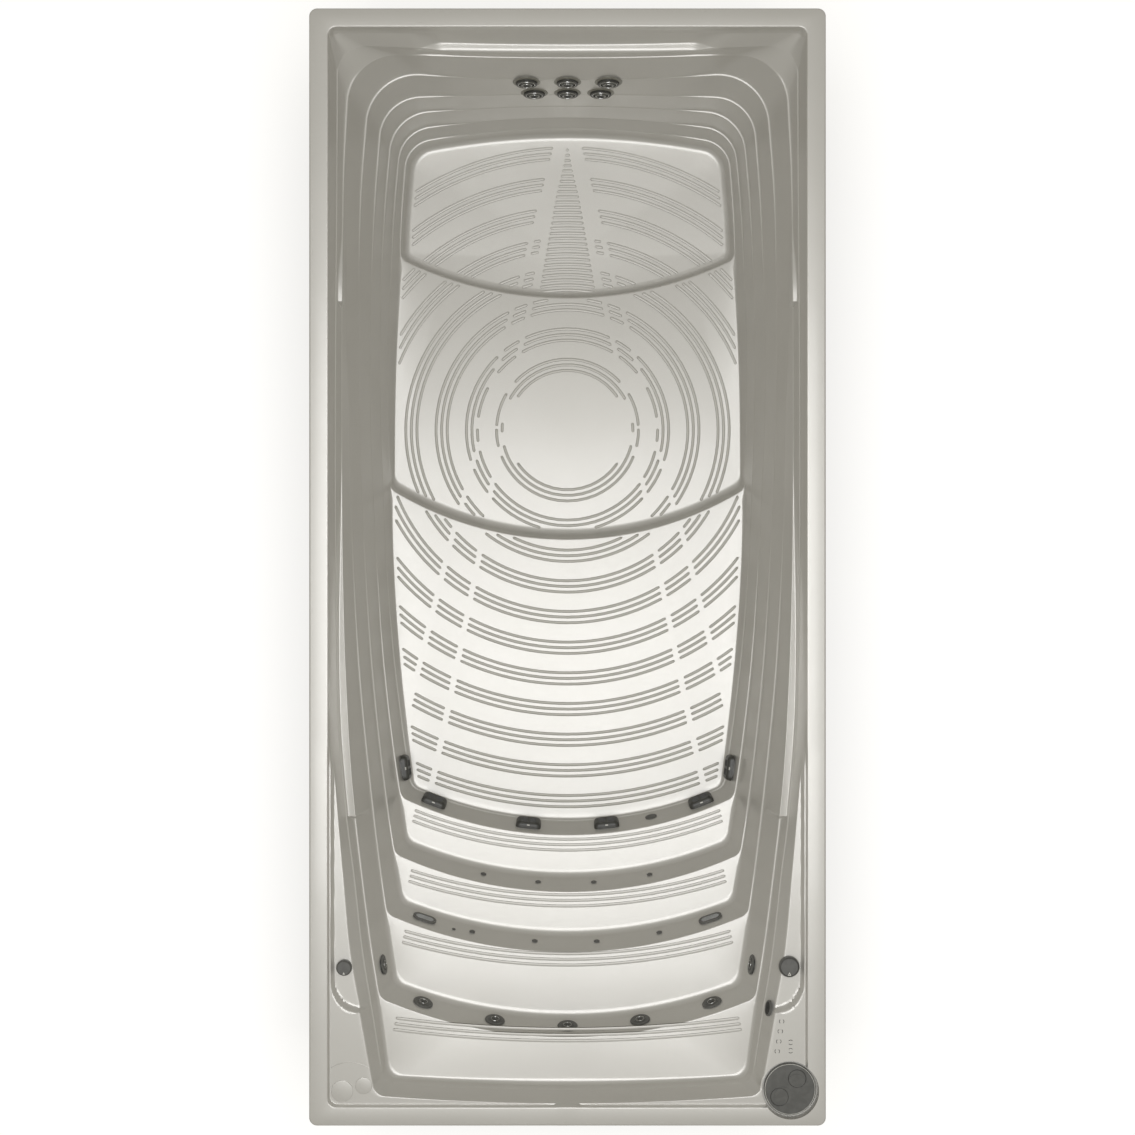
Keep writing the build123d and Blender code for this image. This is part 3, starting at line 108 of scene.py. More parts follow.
# Jet-wall lines: y in the middle, how far it turns in at the side, and the corner's radius
jet_lines = {
    "floor": (2.2750, 0.105, 0.140),
    "ledge_1": (2.2836, 0.108, 0.150),
    "ledge_2": (2.3060, 0.086, 0.180),
    "ledge_3": (2.3100, 0.055, 0.205),
    "ledge_4": (2.3125, 0.028, 0.200),
    "ledge_5": (2.3247, -0.034, 0.240),
    "ledge_6": (2.3440, -0.030, 0.250),
    "ledge_7": (2.3660, -0.022, 0.230),
    "rail": (2.3800, -0.020, 0.130),
    "deck_edge": (2.4370, -0.001, 0.045),
}
jet_line_half = 0.90
# Step lines: half chord, y at the corner and y in the middle of each riser's top edge
step_lines = {
    "ledge_1": (0.8593, 1.5990, 1.4010),
    "ledge_2": (0.8897, 0.3912, 0.1443),
    "ledge_4": (0.8203, -1.1589, -1.3423),
    "ledge_5": (0.8203, -1.4132, -1.5880),
    "ledge_6": (0.8279, -1.6699, -1.8362),
    "ledge_7": (0.8485, -2.0147, -2.1858),
    "deck_edge": (0.8799, -2.4010, -2.4364),
}
riser_lean = 0.25
step_corner_radius = 0.062
corner_guess_x = 0.8
corner_rounds = 40

# Stations along half a loop: jet wall, jet corner, then the sides with one bend
# for each riser's corner, and the rest on the steps
bend_middles = (1.60, 0.39, -1.14, -1.40, -1.66, -2.005, -2.38)
bend_reach = 0.070
jet_wall_stations = 36
jet_corner_stations = 14
side_stations = (10, 60, 60, 8, 10, 14, 14)
bend_stations = (12, 12, 14, 16, 16, 20, 14)
step_stations = 34

# How far the lowest floor's section is taken to run inwards from its first curve
floor_reach = 0.4

# Edges turned by more degrees than this are shaded sharp
sharp_angle = 42

# Rows of the decks between their inner edge and the rim
deck_row_shares = (0.12, 0.24, 0.36, 0.46, 0.55, 0.63, 0.70, 0.76, 0.81, 0.86, 0.90, 0.94, 0.97)

# Roundings of the section: length along it and samples
cove = 0.034
cove_samples = 7
edge = 0.006
edge_samples = 5
small_cove = 0.020
corner_rounding = 0.030
seat_foot_rounding = 0.026
bolster_rounding = 0.014
shelf_foot_rounding = 0.010
deck_rounding = 0.007
rim_foot_rounding = 0.006
rim_foot_samples = 4
rim_inner_rounding = 0.007
rim_outer_rounding = 0.008
rim_samples = 6

# Ledges along the sides: narrow in the middle, and grown towards the steps and the jets
ledge_middle = 0.0015
ledge_growth = 0.006
ledge_gains = (1.7, 1.9)
ledge_south_ys = (0.3, -0.6)
ledge_north_ys = (1.3, 2.1)
jet_ledge_y = 2.0
jet_ledge_xs = (0.45, 0.72)
jet_ledge_share = 0.15
ledge_3_growth = 0.004
ledge_3_rise = 0.015
ledge_3_out = 0.002
ledge_6_rise = 0.150
ledge_6_middle_share = 0.5
ledge_6_foot_share = 0.05
ledge_6_blend_ys = (1.2, 0.7)
fall_start_y = 0.9
fall_end_ys = {"ledge_3": -1.10, "ledge_4": -1.15, "ledge_5": -1.40, "ledge_6": -1.66}
seat_ledge = (0.005, 0.004, 0.003)
rail_width = 0.005
least_width = 0.0005

# The seat's corners beside the jet wall, and the gap between the deck and the rim
jet_wall_y = 2.3
corner_ys = (2.26, 2.32)
corner_xs = (0.66, 0.74)
corner_ledge_share = 0.9
rim_lean = 0.002
sliver_widths = (0.016, 0.007)
sliver_drop = 0.007

# Raised strips along the sides: where each one starts to rise, is full, and ends
strip_rises = (0.058, 0.069)
north_strip = (1.62, 1.27, 1.213)
south_strip = (0.70, -0.55, -1.166)
strip_end_length = 0.014
strip_width_share = 0.80
strip_edge_share = 0.5
strip_foot_share = 0.8

# The bolster shelf on the jet wall
shelf_half_width = 0.684
shelf_taper = 0.110
shelf_depth = 0.040
shelf_drop = 0.028
shelf_ledge_growth = 0.006

# Fittings
swim_wall_lean = 0.06
filter_centre = (1.011, -2.373)
pocket_radius = 0.128
pocket_wall = 0.007
pocket_floor = 1.270
pocket_foot = 1.262
canister_bore = 0.108
lid_radius = 0.118
lid_disc_radius = 0.0400
lid_disc_rise = 0.002
# Filter lid: dark rings that paint the shade of the grooves round its discs, as size and sink, then a
# pale ring that paints the highlight near its edge, as inset and size
lid_groove_shade = (0.0013, 0.0002)
lid_highlight_inset = 0.0045
lid_highlight_size = 0.0012
pocket_overlap = 0.0005
pocket_overrun = 0.05
rim_overlap = 0.001
lid_disc_centres = ((0.9627, -2.4074), (1.0432, -2.3245))
knob_top_radius = 0.0405
keypad_outer_drop = 0.132
keypad_north = -2.040
keypad_south = -2.228
keypad_north_width = 0.081
keypad_south_width = 0.105
button_shade_radius = 0.0106
# Dark arcs round each keypad button, painted shade of its rounded sides: radius, thickness and half angle
button_shade_thickness = 0.0016
button_shade_half_angle = 50
button_hole = 0.0084
corner_discs = ((-1.024, -2.382, 0.0495), (-0.927, -2.357, 0.038))
# The raised arc on the left corner deck
arc_middle = (-0.99, -2.250)
arc_bow = 0.03
arc_xs = (-1.075, -0.905)
arc_half_width = 0.09
arc_radius = 0.0022
arc_sink = 0.0008
# Steps of a corner disc's edge: how far each is drawn in, and its height over the deck
disc_steps = ((0, -0.002), (0, 0.0010), (0.0012, 0.0026), (0.004, 0.003))
# Swim-jet collar: inner and outer radius, foot, top and chamfer. Beads: ring radius, thickness, height
collar = (0.0376, 0.052, 0.010, 0.0195, 0.0025)
collar_bead = (0.0390, 0.0016, 0.0200)
nozzle_bead = (0.0225, 0.0011, 0.0243)
face_bead = (0.0190, 0.0013, 0.0062)
# Knob pointers: distance from the knob's middle and half width
pointers = {"air_knob": (0.0225, 0.0055), "diverter_knob": (0.0300, 0.0080)}
pointer_corner = 0.0015
pointer_levels = (-0.001, 0.0004)
pointer_dot = (0.0021, 0.0008)
pointer_dot_share = 0.3
knob_bead = (0.0011, 0.0004)
# The keypad plate, its button holes and the painted shade round its buttons; levels count from the deck
pad_corner = 0.010
pad_levels = (-0.020, 0.0005)
hole_levels = (-0.030, 0.010)
button_shade_sink = 0.0003
# Suction covers: places in plan, and half the length and height of one
suction_places = ((-0.677, -1.26), (-0.198, -1.33), (0.198, -1.33), (0.677, -1.26), (-0.83, -1.018),
                  (0.83, -1.018))
suction_half = (0.0635, 0.0485)
suction_rise = 0.024
suction_corner = 0.024
suction_find_reach = 0.13
# Levels of a dome: share of its rise and how far it is drawn in there
dome_levels = ((-1 / 6, 0), (0.35, 0.001), (0.75, 0.005), (1, 0.013))
# Slots across a dome, drawn as dark rods that paint the shade in them
slot_shares = (-0.45, -0.15, 0.15, 0.45)
slot_run_shares = (0.1, 0.6)
slot_radius = 0.0022
notch_half = 0.007
notch_inset = 0.003
notch_rise_share = 0.55
notch_radius = 0.0035
# The overflow's cover on the right wall: its place, facing and turned profile, then its bars
overflow_place = (0.9200, -2.020, 1.232)
overflow_facing = (-0.965, 0.170, 0.200)
overflow_profile = ((0.036, -0.004), (0.036, 0.003), (0.034, 0.005), (0.029, 0.005), (0.028, 0.002))
overflow_bar_reach = 0.027
overflow_bar_rows = (-0.02, 0.021, 0.008)
overflow_bar_height = 0.0035
overflow_bar_radius = 0.0018

# Ribs on the floors: triple rings about one centre, crossed by two gap lines on each side
rib_width = 0.0140
rib_height = 0.0034
rib_pitch = 0.029
ring_centre_y = 0.7127
ring_first = 0.369
ring_pitch = 0.1575
ring_count = 11
deep_ring_scale = 1.017
deep_ring_last = 7
rib_gap = 0.0125
rib_margins = (0.033, 0.018, 0.021)
gap_lines = (
    ((2.25, 0.030), (2.045, 0.0653), (1.347, 0.198), (0.953, 0.288), (0.72, 0.36)),
    ((2.25, 0.050), (2.051, 0.1027), (1.525, 0.240), (1.078, 0.353), (0.72, 0.47)),
    ((0.71, 0.325), (0.586, 0.355), (0.416, 0.396), (0.026, 0.460), (-0.90, 0.650), (-1.15, 0.706)),
    ((0.71, 0.430), (0.550, 0.489), (0.344, 0.545), (-0.90, 0.863)),
)
bar_first_y = 2.197
bar_last_y = 1.440
bar_pitch = 0.0273
bar_bow = 0.68
bar_half_line = ((2.205, 0.006), (2.112, 0.022), (1.95, 0.061), (1.44, 0.154))
# Distances of the ribs from a riser's foot, a floor's front edge, the jet wall and the first
# tread's riser, then the bars' margin and the middle ring's split
rib_foot_step = 0.055
rib_edge_step = 0.014
rib_jet_step = 0.045
rib_riser_step = 0.034
rib_riser_rise = 0.2
bar_margin = 0.03
split_rib_reach = 0.17
# Shortest rib in rib widths, its sampling, and its narrowed ends and sunk feet
shortest_rib = 2.6
ring_steps = 2880
rib_sample_step = 0.030
rib_samples = (12, 44)
rib_end_share = 0.12
rib_foot_share = 1.12
rib_foot_drop = 0.5
# Tread ribs: half length, y at the ends and y in the middle of each tread's first rib
tread_ribs = ((0.767, -1.219, -1.3656), (0.767, -1.484, -1.6049), (0.779, -1.737, -1.846),
              (0.800, -2.0985, -2.150))
tread_rib_pitch = (0.0265, 0.0273)
tread_rib_growth = 0.006

# The acrylic's flakes and fine grain, in cycles per metre, and the grain's depth
flake_scale = 900.0
flake_ramp = (0.52, 0.70)
fine_scale = 700.0
fine_depth = 0.00005
fine_strength = 0.4

# Noise of the finishes as scale and detail, the stretch of a grain along X, Y and Z, and the
# depth of a bump
pearl_cloud = (3.5, 3.0)
gloss_scale = 60.0
moulded_cloud = (35.0, 4.0)
moulded_gloss_scale = 240.0
cloud_ramp = (0.35, 0.65)
plank_grain = (2.4, 5.0)
plank_stretch = (1.2, 1.2, 18.0)
plank_streak = (1.6, 3.0)
streak_stretch = (5.0, 5.0, 160.0)
streak_ramp = (0.50, 0.75)
plank_depth = 0.0006
metal_streak = (6.0, 3.0)
metal_depth = 0.00005
spangle_scale = 70.0
spangle_step = 28
frost_scales = (90.0, 300.0)
weave = (1400.0, 1.0)
weave_depth = 0.0002
dirt = (12.0, 4.0)
dirt_ramp = (0.4, 0.7)
# Painted crease shade as dark lines at both feet, across a rib, and the darkening of the lower floors'
# ribs along Y and Z
crease_shade_ramp = (0.17, 0.31)
darker_y_ramp = (1.9, 0.3)
darker_z_ramp = (0.46, 0.36)
darker_range = (0.06, 0.52)

# Light: the world's strength and tint, and the lamp
world_strength = 0.27
world_tint = (255, 249, 232)
lamp_tint = (0.972, 0.980, 1.0)
lamp_place = (0.0, -0.35, 11.0)
lamp_aim = (0.0, 0.0, 0.5)
lamp_size = 6.0
lamp_power = 510.0
ground_reach = 30.0


def smooth(low, high, value):
    """0 at low, 1 at high, and 3t squared less 2t cubed between them."""
    t = np.clip((value - low) / (high - low), 0, 1)
    return t * t * (3 - 2 * t)


def through(points, y):
    """Cubic Hermite curve through (y, x) points, with slopes from their neighbours."""
    table = np.array(sorted(points))
    knots, values = table[:, 0], table[:, 1]
    slopes = np.gradient(values, knots)
    k = np.clip(np.searchsorted(knots, y) - 1, 0, len(knots) - 2)
    step = knots[k + 1] - knots[k]
    t = (y - knots[k]) / step
    held = np.clip(t, 0, 1)
    value = ((1 + 2 * held) * (1 - held) ** 2 * values[k] + held * (1 - held) ** 2 * step * slopes[k]
             + held ** 2 * (3 - 2 * held) * values[k + 1] + held ** 2 * (held - 1) * step * slopes[k + 1])
    return value + (t - held) * step * np.where(t > 1, slopes[k + 1], slopes[k])


def side_line(name, out=0):
    return lambda y: through(side_lines[name], y) + out


def jet_line(name, out=0):
    """Parabola across the jet wall."""
    middle, turn, radius = jet_lines[name]
    return lambda x: middle + out - turn * (x / jet_line_half) ** 2


def step_line(name, rise=0, out=0):
    """Circular arc of a riser: its top edge, or with a rise its foot, which lies nearer the jets."""
    half, corner, middle = step_lines[name]
    sag = corner - middle
    radius = (half ** 2 + sag ** 2) / (2 * sag)
    foot = riser_lean * rise - out
    return lambda x: middle + foot + radius - np.sqrt(radius ** 2 - np.clip(np.abs(x), 0, half) ** 2)


def slope_of(curve, at):
    """Slope of a curve by a central difference."""
    reach = 0.001
    return (curve(at + reach) - curve(at - reach)) / (2 * reach)


def corner_circle(side, end, radius, outward):
    """Centre of the arc that touches the side line and the end line, and its end angles."""
    guess = end(corner_guess_x)
    x, y = side(guess) - radius, guess - outward * radius
    for _ in range(corner_rounds):
        y = end(x) - outward * radius * math.sqrt(1 + slope_of(end, x) ** 2)
        x = side(y) - radius * math.sqrt(1 + slope_of(side, y) ** 2)
    side_angle = math.atan2(-slope_of(side, y), 1)
    end_angle = math.atan2(outward, -outward * slope_of(end, x))
    return x, y, side_angle, end_angle


def half_loop(side, jet, steps, jet_radius, step_radius, bend):
    """Points of half a loop from the jet wall's middle to the steps' middle, at +X.

    Side stations have the same y on every loop, so that neighbouring loops face
    each other, and the loop turns onto its riser in its own bend zone.
    """
    cx, cy, side_angle, end_angle = corner_circle(side, jet, jet_radius, 1)
    x = [np.linspace(0, cx + jet_radius * math.cos(end_angle), jet_wall_stations, endpoint=False)]
    y = [jet(x[0])]
    turn = np.linspace(end_angle, side_angle, jet_corner_stations, endpoint=False)
    x.append(cx + jet_radius * np.cos(turn))
    y.append(cy + jet_radius * np.sin(turn))
    start = cy + jet_radius * math.sin(side_angle)
    cx, cy, side_angle, end_angle = corner_circle(side, steps, step_radius, -1)
    last = cy + step_radius * math.sin(side_angle)
    for zone in range(bend + 1):
        end = last if zone == bend else bend_middles[zone] + bend_reach
        run = np.linspace(start, end, side_stations[zone], endpoint=False)
        x.append(side(run))
        y.append(run)
        start = bend_middles[zone] - bend_reach
        if zone < bend:
            run = np.linspace(end, start, bend_stations[zone], endpoint=False)
            x.append(side(run))
            y.append(run)
    turn = np.linspace(side_angle, end_angle, bend_stations[bend], endpoint=False)
    x.append(cx + step_radius * np.cos(turn))
    y.append(cy + step_radius * np.sin(turn))
    rest = step_stations + sum(side_stations[bend + 1:]) + sum(bend_stations[bend + 1:])
    run = np.linspace(cx + step_radius * math.cos(end_angle), 0, rest)
    x.append(run)
    y.append(steps(run))
    return np.stack([np.concatenate(x), np.concatenate(y)], axis=-1)


def rounded_box_loop(half_x, half_y, radius):
    """Half of a rounded rectangle with the same stations."""
    return half_loop(lambda y: half_x + 0 * y, lambda x: half_y + 0 * x, lambda x: -half_y + 0 * x,
                     radius, radius, len(bend_middles) - 1)


def outward_of(loop):
    """Unit outward normals of a half loop in plan, from its tangent turned a quarter."""
    step = np.gradient(loop, axis=0)
    normal = np.stack([-step[:, 1], step[:, 0]], axis=-1)
    return normal / np.linalg.norm(normal, axis=-1, keepdims=True)


def ledge_width(loop, south, north, middle=ledge_middle):
    """Width of a ledge: broad at the jet corners and the steps, narrow along the middle of the sides."""
    x, y = loop[:, 0], loop[:, 1]
    broad = ledge_gains[0] * south * smooth(*ledge_south_ys, y)
    broad = broad + ledge_gains[1] * north * smooth(*ledge_north_ys, y)
    beside = np.where(y > jet_ledge_y, smooth(*jet_ledge_xs, x), 1)
    return (middle + broad) * (jet_ledge_share + (1 - jet_ledge_share) * beside)


def wall_ring(name, bend, height, low_name=None, rise=0, out=0):
    """Half loop of one control curve with its height as a third column."""
    middle, turn, radius = jet_lines[name]
    steps = step_line(low_name or name, rise, out)
    loop = half_loop(side_line(name), jet_line(name), steps, radius, step_corner_radius, bend)
    z = height(loop[:, 1]) if callable(height) else np.full(len(loop), height)
    return np.column_stack([loop, z])


def falling(name, high, low):
    """Height that stays high at the jets and falls smoothly to low at the steps."""
    return lambda y: high + (low - high) * smooth(fall_start_y, fall_end_ys[name], y)


def widened(ring, width):
    """The same ring moved outwards in plan by a width at every station."""
    out = ring.copy()
    out[:, :2] += outward_of(ring[:, :2]) * width[:, None]
    return out


def deck_level(loop):
    """Deck height: a lower field round the knobs, with a rounded step; an ellipse to its south."""
    x, y = np.abs(loop[:, 0]), loop[:, 1]
    across = np.maximum(x - knob_field_x, 0) / knob_field_half_width
    along = np.minimum(y - knob_field_y, 0) / knob_field_half_length
    away = smooth(*knob_field_step, np.hypot(across, along))
    return knob_deck_height + (deck_height - knob_deck_height) * away


def strip_share(ring):
    """0 beside the raised strips and 1 where they are full; they end abruptly at the steps' end."""
    share = 0
    for start, full, end in (north_strip, south_strip):
        share = share + smooth(start, full, ring[:, 1]) * smooth(end, end + strip_end_length, ring[:, 1])
    return share * (ring[:, 0] > knob_field_x)


def add_ring(rings, ring, rounding, samples):
    """Adds a control curve with its rounding length and the samples of its rounding."""
    rounding = np.broadcast_to(np.asarray(rounding, dtype=float), (len(ring),))
    rings.append((ring, rounding, samples))
    return ring


def add_ledge(rings, name, bend, height, upper, rise, growth):
    """Adds the foot outside a ledge's edge, moved outwards by the ledge's width."""
    ring = wall_ring(name, bend, height, upper, rise)
    return add_ring(rings, widened(ring, ledge_width(ring, growth, ledge_growth)), cove, cove_samples)


def floor_rings(rings):
    """The three floors and the foot of the first riser."""
    low, middle, high = floor_heights
    first = tread_heights[0]
    add_ring(rings, wall_ring("floor", 0, low, "ledge_1", middle - low), cove, cove_samples)
    add_ring(rings, wall_ring("ledge_1", 0, middle), edge, edge_samples)
    add_ledge(rings, "ledge_1", 1, middle, "ledge_2", high - middle, 0)
    add_ring(rings, wall_ring("ledge_2", 1, high), edge, edge_samples)
    add_ledge(rings, "ledge_2", 2, high, "ledge_4", first - high, 0)
    height = falling("ledge_3", first, high + ledge_3_rise)
    ring = wall_ring("ledge_3", 2, height, "ledge_4", first - high, ledge_3_out)
    add_ring(rings, ring, edge, edge_samples)
    width = ledge_width(ring, ledge_3_growth, ledge_growth)
    add_ring(rings, widened(ring, width), small_cove, edge_samples)


def tread_rings(rings):
    """The first two treads with the side ledges that grow out of them; gives the last curve."""
    first, second, third, seat = tread_heights
    height = falling("ledge_4", second, first)
    add_ring(rings, wall_ring("ledge_4", 2, height), edge, edge_samples)
    add_ledge(rings, "ledge_4", 3, height, "ledge_5", second - first, ledge_growth)
    height = falling("ledge_5", third, second)
    add_ring(rings, wall_ring("ledge_5", 3, height), edge, edge_samples)
    return add_ledge(rings, "ledge_5", 4, height, "ledge_6", third - second, ledge_growth)


def eased(ring, along, plain):
    """The ring towards the jets, and a plain one towards the steps' end of its blend."""
    fade = smooth(*ledge_6_blend_ys, along[:, 1])[:, None]
    return np.where(fade > 0, ring * fade + plain * (1 - fade), plain)


def third_tread_rings(rings, below, seat_edge):
    """The third tread; its side ledge fades into the wall between the curves beside it."""
    third, seat = tread_heights[2:]
    height = falling("ledge_6", third + ledge_6_rise, third)
    ring = wall_ring("ledge_6", 4, height)
    share = np.where(ring[:, 2:] > third, (ring[:, 2:] - third) / (seat - third), ledge_6_middle_share)
    base = eased(ring, below, below + (seat_edge - below) * share)
    add_ring(rings, base, edge, edge_samples)
    outer = wall_ring("ledge_6", 5, height, "ledge_7", seat - third)
    outer = widened(outer, ledge_width(outer, ledge_growth, 0))
    outer = eased(outer, outer, base + (seat_edge - base) * ledge_6_foot_share)
    add_ring(rings, outer, cove, cove_samples)


def on_shelf(ring):
    """1 along the bolster shelf, and 0 beside it."""
    reach = smooth(shelf_half_width, shelf_half_width - shelf_taper, ring[:, 0])
    return reach * (ring[:, 1] > jet_wall_y)


def seat_rings(rings, seat_edge):
    """The top tread's edge with the raised strips, and the rail with the bolster shelf."""
    seat = tread_heights[3]
    corner = smooth(*corner_ys, seat_edge[:, 1]) * smooth(*corner_xs, seat_edge[:, 0])
    lift = strip_share(seat_edge)
    rise = lift * np.where(seat_edge[:, 1] > north_strip[2], *strip_rises)
    seat_edge[:, 2] += rise
    seat_edge[:, 0] *= 1 - rise / (camera_height - seat)
    rounding = (edge + corner_rounding * corner) * (1 - strip_edge_share * lift)
    add_ring(rings, seat_edge, rounding, edge_samples)
    outer = wall_ring("ledge_7", 6, seat, "deck_edge", deck_height - seat)
    width = ledge_width(outer, *seat_ledge) + shelf_ledge_growth * on_shelf(outer)
    outer = widened(outer, width * (1 - corner_ledge_share * corner))
    rail = wall_ring("rail", 6, rail_height, "deck_edge", deck_height - rail_height)
    lift = strip_share(outer)[:, None]
    outer = outer + (rail - outer) * strip_width_share * lift
    add_ring(rings, outer, seat_foot_rounding * (1 - strip_foot_share * lift[:, 0]), cove_samples)
    bolster = on_shelf(rail)
    rail[:, 2] -= shelf_drop * bolster
    rounding = edge + corner_rounding * corner + bolster_rounding * bolster
    add_ring(rings, rail, rounding, edge_samples)
    width = np.where(rail[:, 1] > jet_wall_y, shelf_depth * bolster, rail_width * (1 - corner))
    width = np.maximum(width * (rail[:, 1] > -jet_wall_y), least_width)
    add_ring(rings, widened(rail, width), shelf_foot_rounding, edge_samples)


def deck_rings(rings):
    """The decks, which lean up where they are narrow, the rim and the skirt."""
    deck = wall_ring("deck_edge", 6, deck_height)
    deck[:, 2] = deck_level(deck[:, :2])
    add_ring(rings, deck, deck_rounding, edge_samples)
    inner = rounded_box_loop(basin_half_width - rim_lean, basin_half_length - rim_lean, rim_inner_corner)
    foot = np.column_stack([inner, deck[:, 2]])
    width = np.linalg.norm((foot - deck)[:, :2], axis=1)
    lean = (rim_top - deck_height - sliver_drop) * smooth(*sliver_widths, width)
    for share in deck_row_shares:
        ring = deck + (foot - deck) * share
        ring[:, 2] = deck_level(ring[:, :2]) + lean * share
        add_ring(rings, ring, 0, 1)
    foot[:, 2] = deck_level(foot[:, :2]) + lean
    add_ring(rings, foot, rim_foot_rounding, rim_foot_samples)
    top = np.full(len(foot), rim_top)
    inner = rounded_box_loop(basin_half_width, basin_half_length, rim_inner_corner)
    add_ring(rings, np.column_stack([inner, top]), rim_inner_rounding, rim_samples)
    outer = rounded_box_loop(half_width, half_length, rim_outer_corner)
    add_ring(rings, np.column_stack([outer, top]), rim_outer_rounding, rim_samples)
    add_ring(rings, np.column_stack([outer, top - rim_top + skirt_bottom]), 0, 1)


def control_rings():
    """The basin's control curves from the middle of the lowest floor out to the skirt.

    Each entry is a half ring (stations, 3), the rounding length inwards and
    outwards along the section, and the number of samples of its rounding.
    """
    rings = []
    floor_rings(rings)
    below = tread_rings(rings)
    seat_edge = wall_ring("ledge_7", 5, tread_heights[3])
    third_tread_rings(rings, below, seat_edge)
    seat_rings(rings, seat_edge)
    deck_rings(rings)
    return rings


def rounded_section(rings):
    """Rounds the section at every control curve.

    Each corner becomes a quadratic Bezier curve whose ends lie on the two
    neighbouring segments, at the rounding length or half the segment.
    """
    points = np.stack([ring for ring, tangent, samples in rings])
    rows = []
    for k, (ring, tangent, samples) in enumerate(rings):
        if samples == 1 or k == len(rings) - 1:
            rows.append(ring)
            continue
        inward = points[k - 1] - ring if k else np.zeros_like(ring)
        outward = points[k + 1] - ring
        if k == 0:
            inward[:, :2] = -outward_of(ring[:, :2]) * floor_reach
        ends = []
        for side in (inward, outward):
            length = np.maximum(np.linalg.norm(side, axis=-1), 1e-6)
            ends.append(ring + side * (np.minimum(tangent, 0.5 * length) / length)[:, None])
        for t in np.linspace(0, 1, samples):
            rows.append(ends[0] * (1 - t) ** 2 + ring * 2 * t * (1 - t) + ends[1] * t ** 2)
    return np.stack(rows)


def full_loops(half):
    """Mirrors half loops (rows, stations, 3) across X = 0 into closed loops."""
    left = half[:, -2:0:-1] * np.array([-1, 1, 1])
    return np.concatenate([half, left], axis=1)


def finished(mesh):
    """Turns the faces outwards and smooths them, apart from edges sharper than a set angle."""
    work = bmesh.new()
    work.from_mesh(mesh)
    bmesh.ops.recalc_face_normals(work, faces=work.faces[:])
    work.to_mesh(mesh)
    work.free()
    mesh.polygons.foreach_set("use_smooth", np.ones(len(mesh.polygons), dtype=bool))
    mesh.set_sharp_from_angle(angle=math.radians(sharp_angle))
    mesh.update()
    return mesh


def grid_mesh(name, rows):
    """A tube of closed loops (rows, stations, 3) with a fan at each open end."""
    count, around = rows.shape[:2]
    corner = np.arange(count * around).reshape(count, around)
    low, high = corner[:-1], corner[1:]
    quads = np.stack([low, np.roll(low, -1, axis=1), np.roll(high, -1, axis=1), high], axis=-1)
    points = [rows.reshape(-1, 3)]
    faces = quads.reshape(-1, 4).tolist()
    next_point = count * around
    for ring, flip in ((0, True), (count - 1, False)):
        points.append(rows[ring].mean(axis=0, keepdims=True))
        here, there = corner[ring], np.roll(corner[ring], -1)
        middle = np.full(around, next_point)
        fan = [there, here, middle] if flip else [here, there, middle]
        faces += np.stack(fan, axis=-1).tolist()
        next_point += 1
    mesh = bpy.data.meshes.new(name)
    mesh.from_pydata(np.concatenate(points).tolist(), [], faces)
    return finished(mesh)


def piece(name, mesh, material, body="spa"):
    """Adds a mesh as a piece that rides on a body."""
    obj = bpy.data.objects.new(name, mesh)
    bpy.context.scene.collection.objects.link(obj)
    obj.data.materials.append(material)
    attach(obj, body)
    return obj


def basin_rows():
    """Top surface from the skirt to the middle, then the underside back to the skirt."""
    rings = control_rings()
    top = rounded_section(rings)
    under = []
    for ring, tangent, samples in rings[:-2]:
        low = ring.copy()
        low[:, :2] += outward_of(ring[:, :2]) * shell_wall
        low[:, 2] -= shell_wall
        low[:, :2] = np.minimum(low[:, :2], [half_width - skirt_wall, half_length - skirt_wall])
        low[:, 1] = np.maximum(low[:, 1], -half_length + skirt_wall)
        under.append(low)
    inner = rounded_box_loop(half_width - skirt_wall, half_length - skirt_wall,
                             rim_outer_corner - skirt_wall)
    for height in (rim_top - shell_wall, skirt_bottom):
        under.append(np.column_stack([inner, np.full(len(inner), height)]))
    return np.concatenate([top, np.stack(under)[::-1]])


def rib_rows(path, z):
    """Rings of one raised rib along a path in plan.

    The width follows a half circle towards both ends, the height its root, and
    each ring is a low arch with its foot just below the floor.
    """
    step = np.linalg.norm(np.diff(path, axis=0), axis=1)
    along = np.concatenate([[0], np.cumsum(step)])
    length = along[-1]
    count = int(np.clip(length / rib_sample_step, *rib_samples))
    wanted = length * (0.5 - 0.5 * np.cos(np.linspace(0, math.pi, count)))
    x, y = (np.interp(wanted, along, path[:, axis]) for axis in (0, 1))
    line = np.stack([x, y], axis=-1)
    tangent = np.gradient(line, axis=0)
    tangent /= np.linalg.norm(tangent, axis=1, keepdims=True)
    across = np.stack([tangent[:, 1], -tangent[:, 0]], axis=-1)
    reach = np.minimum(np.minimum(wanted, length - wanted) / (rib_width / 2), 1)
    width = np.maximum(np.sqrt(1 - (1 - reach) ** 2), rib_end_share) * rib_width / 2
    turn = np.linspace(0, math.pi, 7)
    offset = np.concatenate([[rib_foot_share], np.cos(turn), [-rib_foot_share]])
    lift = np.concatenate([[-rib_foot_drop], np.sqrt(np.sin(turn)), [-rib_foot_drop]]) * rib_height
    ring = np.empty((count, len(offset), 3))
    ring[..., :2] = line[:, None] + across[:, None] * (width[:, None] * offset)[..., None]
    ring[..., 2] = z + lift * np.where(lift > 0, np.sqrt(width / (rib_width / 2))[:, None], 1)
    return ring[:, ::-1]


def runs_of(mask):
    """Start and end of each unbroken stretch of true values."""
    change = np.flatnonzero(np.diff(np.concatenate([[0], mask.astype(int), [0]])))
    return change.reshape(-1, 2)


